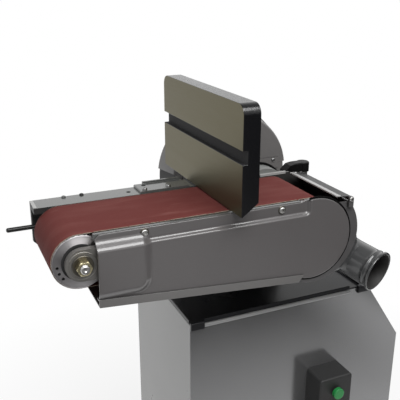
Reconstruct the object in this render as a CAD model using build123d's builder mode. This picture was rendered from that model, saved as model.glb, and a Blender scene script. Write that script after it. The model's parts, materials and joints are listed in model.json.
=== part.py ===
from build123d import *
import math
import os

# Belt and disc sander on a floor stand. Millimetres, +Z up, the origin on the floor at the middle
# of the stand's base. +X runs along the arm from the idler drum to the drive drum, and +Y from the
# belt to the disc.

# Abrasive belt and its drums
belt_width = 152.4
belt_length = 1219.2
belt_thickness = 1.2
belt_gap = 0.3
drum_diameter = 98.0
drum_overhang = 1.8
drum_crown = 0.5
drum_face_radius = 30.0
drum_recess = 5.0
balance_hole_radius = 2.6
balance_hole_circle = 40.0
balance_hole_depth = 6.0
balance_hole_count = 3
balance_hole_first = 186.0
balance_hole_step = 16.5
drum_bore_gap = 4.0
drum_hub_step = 6.0
drum_hub_depth = 3.0

# Fits and gaps
running_fit = 0.05
seat_fit = 0.02
running_gap = 0.4
end_chamfer = 1.0
cut_over = 1.0

# Overall placing
stand_height = 690.0
belt_above_stand = 250.0
spindle_x = -35.0
belt_y = -138.5

# Stand
base_length = 535.0
base_depth = 337.0
top_length = 436.0
tray_inset = 19.0
knee_drop = 150.0
sheet = 2.5
foot_width = 46.0
foot_thickness = 5.0
foot_wall_height = 60.0
floor_hole_radius = 6.5
floor_hole_inset = 38.0
floor_hole_offset = 23.0
top_thickness = 3.0
top_lip_height = 6.0
top_lip_thickness = 3.0
hem_radius = 4.5
hem_inset = 31.0
belt_slot_length = 112.0
belt_slot_width = 34.0
louvre_count = 7
louvre_length = 150.0
louvre_height = 6.0
louvre_pitch = 20.0
louvre_top = 470.0
panel_screw_radius = 4.0
panel_screw_height = 3.0
panel_screw_inset = 16.0
panel_screw_chamfer = 1.0

# Switch box on the front panel, with two push buttons
switch_x = 60.0
switch_bottom = 380.0
switch_width = 84.0
switch_height = 130.0
switch_depth = 56.0
switch_wall = 3.0
switch_corner = 8.0
switch_round = 4.0
start_radius = 13.0
stop_radius = 17.0
button_height = 9.0
button_travel = 4.0
button_spacing = 58.0
button_stem_radius = 6.0
button_stem_end = 10.0
button_round = 2.0
gland_radius = 11.0
gland_length = 24.0
gland_bore = 4.5
gland_step = 2.0
gland_taper = 10.0

# Motor, pulleys and drive belt
shelf_height = 230.0
shelf_thickness = 4.0
shelf_flange = 26.0
shelf_length = 250.0
motor_shaft_height = 104.0
motor_radius = 78.0
motor_length = 150.0
motor_gap_to_pulley = 14.0
motor_fin_count = 20
motor_fin_height = 9.0
motor_fin_thickness = 4.0
motor_foot_width = 170.0
motor_foot_length = 110.0
motor_foot_thickness = 12.0
motor_neck_width = 102.0
motor_neck_length = 88.0
motor_neck_over = 10.0
motor_fin_root = 1.0
motor_shaft_radius = 12.0
motor_shaft_depth = 28.0
motor_bore_depth = 30.0
motor_shaft_over = 4.0
motor_pulley_diameter = 90.0
spindle_pulley_diameter = 76.0
pulley_width = 26.0
pulley_y = 202.0
groove_top = 16.0
groove_bottom = 11.0
groove_depth = 13.0
drive_belt_width = 10.0
drive_belt_height = 9.0
drive_belt_gap = 0.5

# Spindle, bearings and headstock. Distances along Y are from the middle of the abrasive belt.
spindle_radius = 17.5
spindle_end_radius = 15.0
spindle_step_back = 6.0
spindle_step_front = 4.0
bearing_radius = 36.0
bearing_width = 17.0
tower_thickness = 24.0
front_tower_y = 158.0
rear_tower_y = 222.0
hub_radius = 62.0
tower_foot_width = 190.0
head_base_thickness = 14.0
head_base_margin = 8.0
head_base_front = 34.0
head_bolt_x = 70.0
head_bolt_radius = 6.5
head_bolt_inset = 16.0
head_bolt_hex = 10.0
head_bolt_head = 8.0
head_corner = 10.0
trunnion_radius = 45.0
trunnion_length = 60.0
collar_radius = 52.0
collar_length = 22.0
shaft_bore = 22.0
tower_window_width = 84.0
tower_window_height = 70.0
pulley_cover_radius = 58.0
pulley_cover_wall = 2.0

# Disc with its guard
disc_diameter = 304.8
disc_thickness = 16.0
disc_face_y = 328.0
abrasive_thickness = 1.2
disc_hub_radius = 34.0
disc_hub_length = 30.0
disc_hub_socket = 8.0
disc_dish = 6.0
disc_rim = 12.0
disc_dish_slope = 4.0
guard_reach = 40.0
guard_back_y = 260.0
guard_front_y = 325.0
guard_back_radius = 150.0
guard_front_radius = 165.0
guard_wall = 3.0
guard_corner = 6.0
guard_hole_radius = 52.0
guard_ring_radius = 64.0
guard_split = 20.0
guard_seam = 0.2
guard_overlap = 14.0
guard_tab = 128.0
guard_nest_gap = 1.2
guard_rib_width = 16.0
guard_rib_height = 5.0
guard_screw_radius = 4.5
seat_rail_length = 260.0
seat_rail_width = 52.0
seat_rail_thickness = 10.0
seat_rail_drop = 118.0
seat_gap = 4.0
seat_leg = 12.0
seat_leg_x = 112.0
seat_foot = 44.0
seat_hole_radius = 4.25
seat_hole_spacing_x = 190.0
seat_hole_spacing_y = 26.0

# Arm casting, from the idler axis along X and from the belt's top along Z
rail_left = 47.0
rail_top = 1.0
rail_thickness = 12.0
rail_inner_y = 80.0
rail_outer_y = 128.0
rail_stop = 25.0
rail_hole_x = 144.0
rail_hole_y = 102.0
rail_hole_radius = 4.5
rear_wall = 12.0
rear_wall_drop = 105.0
rear_wall_chamfer = 24.0
rear_flange_height = 8.0
rear_flange_width = 14.0
wall_panel_start = 76.0
wall_panel_end = 362.0
wall_panel_top = 26.0
wall_panel_bottom = 94.0
wall_panel_depth = 3.0
wall_panel_corner = 12.0
rail_corner = 3.0
ear_corner = 9.0
boss_radius = 61.5
boss_front_y = 98.0
boss_back_y = 131.0
ear_reach = 126.0
ear_height = 26.0
ear_slit = 4.0
ear_front_y = 102.0
lock_stud_x = 107.0
lock_stud_radius = 6.0
lock_stud_head = 8.0
lock_stud_over = 14.0
lock_sleeve = 14.0
lock_sleeve_radius = 12.0

# Platen, cross beam and front rail
platen_start = 60.0
platen_end = 392.0
platen_thickness = 6.0
beam_start = 125.0
beam_end = 388.0
beam_bottom = 62.0
beam_wall = 8.0
beam_rib = 7.0
stem_room = 6.0
front_rail_y = 85.0
front_rail_inner_y = 78.5
front_rail_start = 22.0
front_rail_end = 430.0
front_rail_depth = 12.5

# Front side cover
cover_left = 23.5
cover_face_y = 96.0
cover_sheet = 2.0
cover_top = 2.0
cover_corner = 8.0
cover_end_x = 5.2
cover_end_drop = 29.5
cover_end_radius = 83.6
cover_fold_left = 117.5
cover_fold_slope = 0.0824
cover_tuck = 4.0
ledge_start = 104.0
ledge_end = 437.0
ledge_drop = 21.0
ledge_slope = 36.0
ledge_face_y = 88.5
ledge_corner = 9.0
bulge_right = 121.0
bulge_height = 8.5
bulge_bottom = 113.0
bulge_corner = 26.0
bulge_taper = 40.0
cover_screw_radius = 5.0
cover_screw_height = 4.0
cover_screw_chamfer = 1.5
cover_screw_first = 111.7
cover_screw_second = 385.6
cover_screw_drop = 10.9

# Dust pan under the belt, hood round the drive drum, port and flap
pan_lip_height = 16.0
pan_lip_gap = 0.2
pan_step = 2.0
pan_wall_gap = 0.2
pan_end = 426.0
pan_end_slant = 11.0
hood_x = 12.4
hood_drop = 27.2
hood_radius = 97.0
hood_wall = 3.0
hood_front_y = 93.0
hood_seam = 1.5
hood_start = 437.0
hood_cut_gap = 1.0
cheek_gap = 0.5
cheek_drop = 1.5
cheek_lead = 7.0
cheek_hole_radius = 28.0
port_radius = 40.0
port_wall = 3.0
port_lip_radius = 43.5
port_lip_length = 9.0
port_mouth = (600.0, -125.0, -166.0)
port_axis = (0.344, -0.92, -0.187)
port_socket_radius = 38.0
port_socket_depth = 60.0
port_straight = 95.0
port_stub_axis = (0.8, 0.0, -0.6)
port_stub = 62.0
port_bend = 48.0
flare_radius = 50.0
flare_start = 14.0
flare_end = 50.0
flare_tip = 38.0
flare_hollow = 43.0
flare_middle = 29.0
flap_width = 32.0
flap_hinge_drop = 7.0
flap_thickness = 2.5
flap_rise = 9.0
flap_front_y = 94.0
flap_back_y = 79.0
flap_barrel = 5.5
flap_pin_radius = 3.0
flap_ear = 5.0
flap_pin_over = 3.0
flap_gap = 0.5

# Idler yoke, axle and tension lever
yoke_inner_y = 82.0
yoke_thickness = 12.0
yoke_nose = 29.0
yoke_neck = 15.0
yoke_bridge_start = 72.0
yoke_bridge_end = 95.0
yoke_stem_radius = 12.5
yoke_stem_end = 235.0
yoke_boss_radius = 20.0
yoke_boss_end = 215.0
yoke_lug_gap = 2.0
yoke_lug_low = 20.0
yoke_lug_high = 8.0
axle_radius = 10.0
axle_thread_radius = 8.0
axle_end_y = 114.0
washer_radius = 19.0
washer_thickness = 3.0
nut_width = 24.0
nut_height = 12.0
nut_turn = 14.0
idler_bearing_radius = 21.0
idler_bearing_width = 14.0
spring_radius = 18.0
spring_wire = 2.0
spring_turns = 5
tension_travel = 8.0
cam_x = -20.0
cam_drop = 46.0
cam_radius = 12.0
cam_front_y = 98.0
cam_back_y = 114.0
cam_play = 2.2
lever_rod_radius = 4.5
lever_rod_length = 77.0
lever_pin_radius = 6.0
lever_pin_over = 4.0
lever_collar = 4.0
lever_collar_end = 6.0
lever_tip_flat = 1.0
track_x = 40.0
track_drop = 50.0
track_radius = 18.0
track_length = 20.0
track_lobes = 6
track_lobe_radius = 7.0
track_lobe_out = 3.0
track_collar = 6.0
track_chamfer = 1.5

# Work table, its bracket and its locks
table_face_x = 279.0
table_thickness = 34.0
table_front_y = 128.0
table_back_y = 250.0
table_gap = 2.5
table_height = 202.6
table_corner = 20.0
table_skin = 12.0
table_rim = 11.0
table_rib = 9.0
table_bevel = 25.0
table_rib_step = 6.0
slot_bottom = 100.0
slot_width = 24.0
slot_depth = 10.0
slot_backing = 8.0
pad_share = 0.66
bracket_start = 163.0
bracket_end = 394.0
bracket_thickness = 5.0
bracket_rib_start = 182.0
bracket_rib = 5.0
bracket_rib_height = 8.0
bracket_hole_x = 180.0
bracket_hole_y = 115.0
bracket_screw_y = 89.0
bracket_screw_first = 174.0
bracket_screw_second = 224.5
bracket_screw_third = 345.0
bracket_upright = 12.0
bracket_back_y = 131.5
bracket_lug = 14.0
bracket_gap = 1.0
bracket_chamfer = 1.5
trunnion_plate_y = 133.0
trunnion_plate = 12.0
trunnion_flange = 7.0
trunnion_path = 100.0
trunnion_band = 14.0
trunnion_slot = 6.2
trunnion_slot_room = 3.0
trunnion_low_end = 4.0
trunnion_high_end = 6.0
trunnion_flange_low = 4.0
stud_radius = 5.8
stud_out = 16.0
stud_nut = 9.0
stud_low_angle = 5.0
stud_high_angle = 24.0
table_tilt_max = 30.0
lever_hub = 13.0
lever_height = 24.0
lever_reach = 50.0
lock_bar = 12.0
lock_bar_step = 4.0
lock_root = 7.0
lock_tip = 5.0
lock_round = 2.0
lock_bore = 17.0
wedge_hub = 15.0
wedge_bore = 16.0
wedge_length = 51.0
wedge_height = 21.5
wedge_flat = 23.0
wedge_shoulder = 38.0
wedge_fall = 3.2
wedge_nose_top = 6.5
wedge_nose_bottom = 3.5
wedge_width = 24.0
wedge_round = 3.0
stud_hex = 9.5

# Worked out from the sizes above
drum_radius = drum_diameter / 2
belt_inner_radius = drum_radius + belt_gap
belt_outer_radius = belt_inner_radius + belt_thickness
belt_middle_radius = belt_inner_radius + belt_thickness / 2
drum_spacing = belt_length / 2 - math.pi * belt_middle_radius
drum_half = belt_width / 2 + drum_overhang
belt_top = stand_height + belt_above_stand
axis_drop = belt_outer_radius
axis_z = belt_top - axis_drop
idler_x = spindle_x - drum_spacing
drive_end_x = drum_spacing
base_left = -base_length / 2
base_right = base_length / 2
base_front = -base_depth / 2
base_back = base_depth / 2
top_right = base_left + top_length
tray_length = top_length - tray_inset
tray_middle = base_left + tray_length / 2
knee_height = stand_height - knee_drop
stand_drop = -belt_above_stand
motor_z = shelf_height + motor_shaft_height


def arm_side(y):
    """Side view plane: x from the idler axis, y up from the belt's top, facing the operator."""
    return Plane(origin=(idler_x, belt_y + y, belt_top), x_dir=(1, 0, 0), z_dir=(0, -1, 0))


def arm_plan(z):
    """Plan view plane at a height over the belt's top: x along the arm, y towards the disc."""
    return Plane(origin=(idler_x, belt_y, belt_top + z), x_dir=(1, 0, 0), z_dir=(0, 0, 1))


def arm_end(x):
    """End view plane at a distance along the arm: x towards the disc, y up."""
    return Plane(origin=(idler_x + x, belt_y, belt_top), x_dir=(0, 1, 0), z_dir=(1, 0, 0))


def stand_side(y):
    """Side view plane of the stand, from the floor's middle."""
    return Plane(origin=(0, y, 0), x_dir=(1, 0, 0), z_dir=(0, -1, 0))


def turned(points, x, z, mode=Mode.ADD):
    """Turn a profile of (distance along Y from the belt's middle, radius) about a cross axis."""
    plane = Plane(origin=(x, belt_y, z), x_dir=(0, 1, 0), z_dir=(1, 0, 0))
    with BuildSketch(plane) as profile:
        with BuildLine():
            Polyline(*points, close=True)
        make_face()
    revolve(profile.sketch, axis=Axis(plane.origin, (0, 1, 0)), mode=mode)


def ring(start, end, inner, outer):
    """Profile of a plain ring for turned()."""
    return [(start, inner), (end, inner), (end, outer), (start, outer)]


def side_slab(points, y_start, y_end, mode=Mode.ADD):
    """Side view outline in arm coordinates, solid between two distances along Y."""
    with BuildSketch(arm_side(y_end)) as outline:
        with BuildLine():
            Polyline(*points, close=True)
        make_face()
    extrude(outline.sketch, amount=y_end - y_start, mode=mode)


def arm_box(x_start, x_end, y_start, y_end, z_start, z_end, mode=Mode.ADD):
    """Block between limits in arm coordinates."""
    corners = [(x_start, z_start), (x_end, z_start), (x_end, z_end), (x_start, z_end)]
    side_slab(corners, y_start, y_end, mode)


def cross_bar(x, z, radius, y_start, y_end, mode=Mode.ADD):
    """Round bar along Y in arm coordinates."""
    with BuildSketch(arm_side(y_end)) as outline:
        with Locations((x, z)):
            Circle(radius)
    extrude(outline.sketch, amount=y_end - y_start, mode=mode)


os.makedirs("parts", exist_ok=True)

# Abrasive belt: one flat loop round both drums
with BuildPart() as sanding_belt:
    with BuildSketch(arm_side(belt_width / 2)):
        with Locations((drum_spacing / 2, -axis_drop)):
            SlotCenterToCenter(drum_spacing, 2 * belt_outer_radius)
            SlotCenterToCenter(drum_spacing, 2 * belt_inner_radius, mode=Mode.SUBTRACT)
    extrude(amount=belt_width)
sanding_belt.part.label = "sanding_belt"
export_step(sanding_belt.part, "parts/sanding_belt.step")


def crowned_drum(x, bore, pocket_radius, pocket_width):
    """Drum with a crowned face, recessed ends and balance holes drilled in the ends."""
    end_radius = drum_radius - drum_crown
    shoulder = drum_half - drum_recess
    floor = shoulder - pocket_width
    plane = Plane(origin=(x, belt_y, axis_z), x_dir=(0, 1, 0), z_dir=(1, 0, 0))
    with BuildPart() as drum:
        with BuildSketch(plane):
            with BuildLine():
                ThreePointArc((-drum_half, end_radius), (0, drum_radius), (drum_half, end_radius))
                Polyline(
                    (drum_half, end_radius), (drum_half, drum_face_radius), (shoulder, drum_face_radius),
                    (shoulder, pocket_radius), (floor, pocket_radius), (floor, bore),
                    (-floor, bore), (-floor, pocket_radius), (-shoulder, pocket_radius),
                    (-shoulder, drum_face_radius), (-drum_half, drum_face_radius), (-drum_half, end_radius),
                )
            make_face()
        revolve(axis=Axis(plane.origin, (0, 1, 0)))
        for side in (-1, 1):
            face = Plane(origin=(x, belt_y + side * drum_half, axis_z), x_dir=(1, 0, 0), z_dir=(0, side, 0))
            with BuildSketch(face):
                with PolarLocations(
                    balance_hole_circle, balance_hole_count, balance_hole_first,
                    balance_hole_count * balance_hole_step,
                ):
                    Circle(balance_hole_radius)
            extrude(amount=-balance_hole_depth, mode=Mode.SUBTRACT)
    return drum


idler_drum = crowned_drum(idler_x, axle_radius + drum_bore_gap, idler_bearing_radius, idler_bearing_width)
idler_drum.part.label = "idler_drum"
export_step(idler_drum.part, "parts/idler_drum.step")

with BuildPart() as idler_bearings:
    bearing_out = drum_half - drum_recess
    bearing_in = bearing_out - idler_bearing_width
    for start, end in ((-bearing_out, -bearing_in), (bearing_in, bearing_out)):
        turned(ring(start, end, axle_radius + running_fit, idler_bearing_radius - seat_fit), idler_x, axis_z)
idler_bearings.part.label = "idler_bearings"
export_step(idler_bearings.part, "parts/idler_bearings.step")

drive_drum = crowned_drum(
    spindle_x, spindle_end_radius + seat_fit, spindle_end_radius + drum_hub_step, drum_hub_depth,
)
drive_drum.part.label = "drive_drum"
export_step(drive_drum.part, "parts/drive_drum.step")

# Idler yoke: two arms beside the drum, a bridge inside the belt and a stem in the cross beam
yoke_outer_y = yoke_inner_y + yoke_thickness
yoke_outline = [
    (0, yoke_nose - axis_drop), (yoke_bridge_start / 2, yoke_nose - axis_drop),
    (yoke_bridge_end, yoke_neck - axis_drop), (yoke_bridge_end, -yoke_neck - axis_drop),
    (yoke_bridge_start / 2, -yoke_nose - axis_drop), (0, -yoke_nose - axis_drop),
]
cam_face_x = cam_x + cam_radius + cam_play
with BuildPart() as idler_yoke:
    for start, end in ((-yoke_outer_y, -yoke_inner_y), (yoke_inner_y, yoke_outer_y)):
        side_slab(yoke_outline, start, end)
        cross_bar(0, -axis_drop, yoke_nose, start, end)
    arm_box(
        yoke_bridge_start, yoke_bridge_end, -yoke_outer_y, yoke_outer_y,
        -axis_drop - yoke_neck, -axis_drop + yoke_neck,
    )
    with BuildSketch(arm_end(yoke_bridge_end)):
        with Locations((0, -axis_drop)):
            Circle(yoke_stem_radius)
    extrude(amount=yoke_stem_end - yoke_bridge_end)
    arm_box(
        cam_face_x, cam_face_x + yoke_neck, yoke_outer_y, cam_back_y - yoke_lug_gap,
        -cam_drop - yoke_lug_low, -cam_drop + yoke_lug_high,
    )
    cross_bar(0, -axis_drop, axle_thread_radius + seat_fit, -yoke_outer_y, yoke_outer_y, Mode.SUBTRACT)
idler_yoke.part.label = "idler_yoke"
export_step(idler_yoke.part, "parts/idler_yoke.step")

with BuildPart() as idler_axle:
    turned(
        [
            (-axle_end_y, 0), (yoke_outer_y, 0), (yoke_outer_y, axle_thread_radius),
            (yoke_inner_y, axle_thread_radius), (yoke_inner_y, axle_radius), (-yoke_inner_y, axle_radius),
            (-yoke_inner_y, axle_thread_radius), (end_chamfer - axle_end_y, axle_thread_radius),
            (-axle_end_y, axle_thread_radius - end_chamfer),
        ],
        idler_x, axis_z,
    )
idler_axle.part.label = "idler_axle"
export_step(idler_axle.part, "parts/idler_axle.step")

with BuildPart() as axle_nut:
    with BuildSketch(arm_side(-yoke_outer_y)):
        with Locations((0, -axis_drop)):
            Circle(washer_radius)
    extrude(amount=washer_thickness)
    with BuildSketch(arm_side(-yoke_outer_y - washer_thickness)):
        with Locations((0, -axis_drop)):
            RegularPolygon(nut_width / 2, 6, major_radius=False, rotation=nut_turn)
    extrude(amount=nut_height)
    cross_bar(
        0, -axis_drop, axle_thread_radius + seat_fit,
        -yoke_outer_y - washer_thickness - nut_height, -yoke_outer_y, Mode.SUBTRACT,
    )
axle_nut.part.label = "axle_nut"
export_step(axle_nut.part, "parts/axle_nut.step")

# Tension spring of square wire round the yoke's stem, between the bridge and the cross beam
spring_start = yoke_bridge_end + spring_wire + running_gap
spring_height = beam_start - yoke_bridge_end - 2 * spring_wire - 2 * running_gap
spring_pitch = spring_height / spring_turns
with BuildPart() as tension_spring:
    coil = Helix(
        pitch=spring_pitch, height=spring_height, radius=spring_radius,
        center=(idler_x + spring_start, belt_y, axis_z), direction=(1, 0, 0),
    )
    with BuildSketch(Plane(origin=coil @ 0, x_dir=(1, 0, 0), z_dir=coil % 0)):
        Rectangle(2 * spring_wire, 2 * spring_wire)
    sweep(path=coil, is_frenet=True)
tension_spring.part.label = "tension_spring"
export_step(tension_spring.part, "parts/tension_spring.step")

# Tension lever: a cam on a cross pin through the rear wall, with a plain rod for a handle
rear_wall_y = rail_outer_y - rear_wall
with BuildPart() as tension_lever:
    cross_bar(cam_x, -cam_drop - tension_travel, cam_radius, cam_front_y, cam_back_y)
    cross_bar(cam_x, -cam_drop, lever_pin_radius, cam_back_y, rail_outer_y + lever_pin_over)
    cross_bar(
        cam_x, -cam_drop, lever_pin_radius + lever_collar, rail_outer_y + running_gap,
        rail_outer_y + lever_collar_end,
    )
    with BuildSketch(arm_end(cam_x)):
        with Locations(((cam_front_y + cam_back_y) / 2, -cam_drop)):
            Circle(lever_rod_radius)
    extrude(amount=-lever_rod_length)
    fillet(tension_lever.edges().group_by(Axis.X)[0], lever_rod_radius - lever_tip_flat)
tension_lever.part.label = "tension_lever"
export_step(tension_lever.part, "parts/tension_lever.step")

# Tracking knob behind the arm: a lobed grip on a screw that bears on the yoke
knob_back_y = rail_outer_y + track_collar
with BuildPart() as tracking_knob:
    cross_bar(track_x, -track_drop, lever_pin_radius, yoke_outer_y + running_gap, knob_back_y)
    cross_bar(track_x, -track_drop, 2 * lever_pin_radius, rail_outer_y + running_gap, knob_back_y)
    with BuildSketch(arm_side(knob_back_y + track_length)):
        with Locations((track_x, -track_drop)):
            Circle(track_radius)
            with PolarLocations(track_radius + track_lobe_out, track_lobes):
                Circle(track_lobe_radius, mode=Mode.SUBTRACT)
    extrude(amount=track_length)
    chamfer(tracking_knob.edges().group_by(Axis.Y)[-1], track_chamfer)
tracking_knob.part.label = "tracking_knob"
export_step(tracking_knob.part, "parts/tracking_knob.step")

# Arm casting: rear wall, rail beside the belt, pivot boss with its split clamp
ear_back_y = rail_outer_y
with BuildPart() as arm_frame:
    side_slab(
        [
            (-rail_left, -rail_top), (drive_end_x, -rail_top), (drive_end_x, -rear_wall_drop),
            (rear_wall_chamfer - rail_left, -rear_wall_drop),
            (-rail_left, rear_wall_chamfer - rear_wall_drop),
        ],
        rear_wall_y, rail_outer_y,
    )
    arm_box(
        -rail_left, drive_end_x - rail_stop, rail_inner_y, rail_outer_y,
        -rail_top - rail_thickness, -rail_top,
    )
    fillet(arm_frame.edges().filter_by(Axis.Z).sort_by(Axis.X)[0:2], rail_corner)
    with BuildSketch(arm_side(rail_outer_y)):
        with Locations(((wall_panel_start + wall_panel_end) / 2, -(wall_panel_top + wall_panel_bottom) / 2)):
            RectangleRounded(
                wall_panel_end - wall_panel_start, wall_panel_bottom - wall_panel_top, wall_panel_corner,
            )
    extrude(amount=wall_panel_depth, mode=Mode.SUBTRACT)
    arm_box(
        beam_start, beam_end, rear_wall_y - rear_flange_width, rear_wall_y,
        -rear_wall_drop, rear_flange_height - rear_wall_drop,
    )
    cross_bar(drive_end_x, -axis_drop, boss_radius, boss_front_y, boss_back_y)
    arm_box(
        drive_end_x + trunnion_radius, drive_end_x + ear_reach, ear_front_y, ear_back_y,
        -axis_drop - ear_height, -axis_drop + ear_height,
    )
    fillet(arm_frame.edges().filter_by(Axis.Z).sort_by(Axis.X)[-2:], ear_corner)
    arm_box(
        drive_end_x, drive_end_x + ear_reach, boss_front_y, boss_back_y,
        -axis_drop - ear_slit / 2, -axis_drop + ear_slit / 2, Mode.SUBTRACT,
    )
    cross_bar(
        drive_end_x, -axis_drop, trunnion_radius + running_fit, boss_front_y, boss_back_y, Mode.SUBTRACT,
    )
    cross_bar(cam_x, -cam_drop, lever_pin_radius + running_fit, rear_wall_y, rail_outer_y, Mode.SUBTRACT)
    cross_bar(track_x, -track_drop, lever_pin_radius + running_fit, rear_wall_y, rail_outer_y, Mode.SUBTRACT)
    with BuildSketch(arm_plan(-axis_drop - ear_height)):
        with Locations((drive_end_x + lock_stud_x, (ear_front_y + ear_back_y) / 2)):
            Circle(lock_stud_radius + seat_fit)
    extrude(amount=2 * ear_height, mode=Mode.SUBTRACT)
    with BuildSketch(arm_plan(-rail_top)):
        with Locations((rail_hole_x, rail_hole_y)):
            Circle(rail_hole_radius)
    extrude(amount=-rail_thickness, mode=Mode.SUBTRACT)
arm_frame.part.label = "arm_frame"
export_step(arm_frame.part, "parts/arm_frame.step")

# Clamp bolt of the pivot boss and its black lever
ear_top = -axis_drop + ear_height
ear_bottom = -axis_drop - ear_height
stud_y = (ear_front_y + ear_back_y) / 2
stud_x = drive_end_x + lock_stud_x
lever_bottom = ear_top + lock_sleeve + running_gap
with BuildPart() as arm_lock_stud:
    with BuildSketch(arm_plan(ear_bottom - lock_stud_head)):
        with Locations((stud_x, stud_y)):
            RegularPolygon(stud_hex, 6, major_radius=False)
    extrude(amount=lock_stud_head)
    with BuildSketch(arm_plan(ear_bottom)):
        with Locations((stud_x, stud_y)):
            Circle(lock_stud_radius)
    extrude(amount=ear_top - ear_bottom + lock_sleeve + lock_stud_over)
    with BuildSketch(arm_plan(ear_top)):
        with Locations((stud_x, stud_y)):
            Circle(lock_sleeve_radius)
    extrude(amount=lock_sleeve)
arm_lock_stud.part.label = "arm_lock_stud"
export_step(arm_lock_stud.part, "parts/arm_lock_stud.step")

with BuildPart() as arm_lock_lever:
    with BuildSketch(arm_plan(lever_bottom)):
        with Locations((stud_x, stud_y)):
            Circle(wedge_hub)
    extrude(amount=wedge_height)
    with BuildSketch(arm_side(stud_y + wedge_width / 2)):
        with BuildLine():
            Polyline(
                (stud_x, lever_bottom + wedge_height), (stud_x - wedge_flat, lever_bottom + wedge_height),
                (stud_x - wedge_shoulder, lever_bottom + wedge_height - wedge_fall),
                (stud_x - wedge_length, lever_bottom + wedge_nose_top),
                (stud_x - wedge_length, lever_bottom + wedge_nose_bottom), (stud_x, lever_bottom),
                close=True,
            )
        make_face()
    extrude(amount=wedge_width)
    fillet(arm_lock_lever.edges().group_by(Axis.Z)[-1], wedge_round)
    with BuildSketch(arm_plan(lever_bottom)):
        with Locations((stud_x, stud_y)):
            Circle(lock_stud_radius + running_fit)
    extrude(amount=wedge_bore, mode=Mode.SUBTRACT)
arm_lock_lever.part.label = "arm_lock_lever"
export_step(arm_lock_lever.part, "parts/arm_lock_lever.step")

# Cross beam between the belt's runs: a ribbed trough, open below, with the stem's boss
beam_top = -belt_gap - belt_thickness - platen_thickness
rail_under = -rail_top - rail_thickness
with BuildPart() as cross_beam:
    with BuildSketch(arm_end(beam_start)):
        with BuildLine():
            Polyline(
                (-front_rail_inner_y, -beam_bottom), (-front_rail_inner_y, beam_top),
                (rail_inner_y, beam_top),
                (rail_inner_y, rail_under), (rear_wall_y, rail_under), (rear_wall_y, -beam_bottom),
                close=True,
            )
        make_face()
    extrude(amount=beam_end - beam_start)
    with BuildSketch(arm_plan(-beam_bottom)):
        with Locations(((beam_start + beam_end) / 2, (rear_wall_y - front_rail_inner_y) / 2)):
            RectangleRounded(
                beam_end - beam_start - 2 * beam_wall,
                rear_wall_y + front_rail_inner_y - 2 * beam_wall, beam_wall,
            )
    extrude(amount=beam_bottom + rail_under - beam_wall, mode=Mode.SUBTRACT)
    arm_box(beam_start, beam_end, -beam_rib / 2, beam_rib / 2, -beam_bottom, rail_under)
    with BuildSketch(arm_end(beam_start)):
        with Locations((0, -axis_drop)):
            Circle(yoke_boss_radius)
    extrude(amount=yoke_boss_end - beam_start)
    with BuildSketch(arm_end(beam_start)):
        with Locations((0, -axis_drop)):
            Circle(yoke_stem_radius + running_fit)
    extrude(amount=yoke_stem_end + tension_travel + stem_room - beam_start, mode=Mode.SUBTRACT)
cross_beam.part.label = "cross_beam"
export_step(cross_beam.part, "parts/cross_beam.step")

with BuildPart() as platen:
    arm_box(platen_start, platen_end, -belt_width / 2, belt_width / 2, beam_top, beam_top + platen_thickness)
    fillet(platen.edges().filter_by(Axis.Y).group_by(Axis.Z)[-1], platen_thickness / 2)
platen.part.label = "platen"
export_step(platen.part, "parts/platen.step")

with BuildPart() as front_rail:
    side_slab(
        [
            (front_rail_start, -rail_top), (front_rail_end, -rail_top),
            (front_rail_end, -rail_top - front_rail_depth), (beam_end, -rail_top - front_rail_depth),
            (beam_end, -beam_bottom), (beam_start, -beam_bottom),
            (beam_start, -rail_top - front_rail_depth), (front_rail_start, -rail_top - front_rail_depth),
        ],
        -front_rail_y, -front_rail_inner_y,
    )
front_rail.part.label = "front_rail"
export_step(front_rail.part, "parts/front_rail.step")

# Front side cover: a drawn sheet dish with a ledge along the top and a bulge over the yoke
cover_circle = (drive_end_x + cover_end_x, -axis_drop - cover_end_drop)


def fold_z(x):
    """Height of the fold line, where the pan's lip starts below the cover."""
    return -cover_fold_left - cover_fold_slope * (x - cover_left)


with BuildPart() as side_cover:
    with BuildSketch(arm_side(-front_rail_y)):
        with BuildLine():
            Polyline(
                (cover_left, -cover_top), (cover_circle[0], -cover_top),
                (cover_circle[0], fold_z(cover_circle[0]) - cover_tuck),
                (cover_left, fold_z(cover_left) - cover_tuck),
                close=True,
            )
        make_face()
        with Locations(cover_circle):
            Circle(cover_end_radius)
    extrude(amount=cover_face_y - front_rail_y)
    chamfer(side_cover.edges().filter_by(Axis.Y).group_by(Axis.X)[0].sort_by(Axis.Z)[-1], cover_corner)
    with BuildSketch(arm_side(-cover_face_y)) as bulge_outline:
        with BuildLine():
            Polyline(
                (cover_left - bulge_corner, -cover_top), (bulge_right, -cover_top),
                (bulge_right, -bulge_bottom), (cover_left - bulge_corner, -bulge_bottom), close=True,
            )
        make_face()
        fillet(bulge_outline.vertices().group_by(Axis.X)[-1], bulge_corner)
    extrude(amount=bulge_height, taper=bulge_taper)
    with BuildSketch(arm_side(-ledge_face_y)) as ledge_outline:
        with Locations(((ledge_start + ledge_end) / 2, -cover_top)):
            RectangleRounded(ledge_end - ledge_start, 2 * ledge_drop, ledge_corner)
    extrude(amount=2 * bulge_height + cover_face_y - ledge_face_y, taper=-ledge_slope, mode=Mode.SUBTRACT)
    arm_box(
        cover_left - 2 * bulge_corner, cover_left, -cover_face_y - 2 * bulge_height, -front_rail_y,
        -2 * bulge_bottom, bulge_corner, Mode.SUBTRACT,
    )
    offset(
        amount=-cover_sheet,
        openings=[side_cover.faces().sort_by(Axis.Y)[-1], side_cover.faces().sort_by(Axis.X)[0]],
    )
side_cover.part.label = "side_cover"
export_step(side_cover.part, "parts/side_cover.step")

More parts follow.
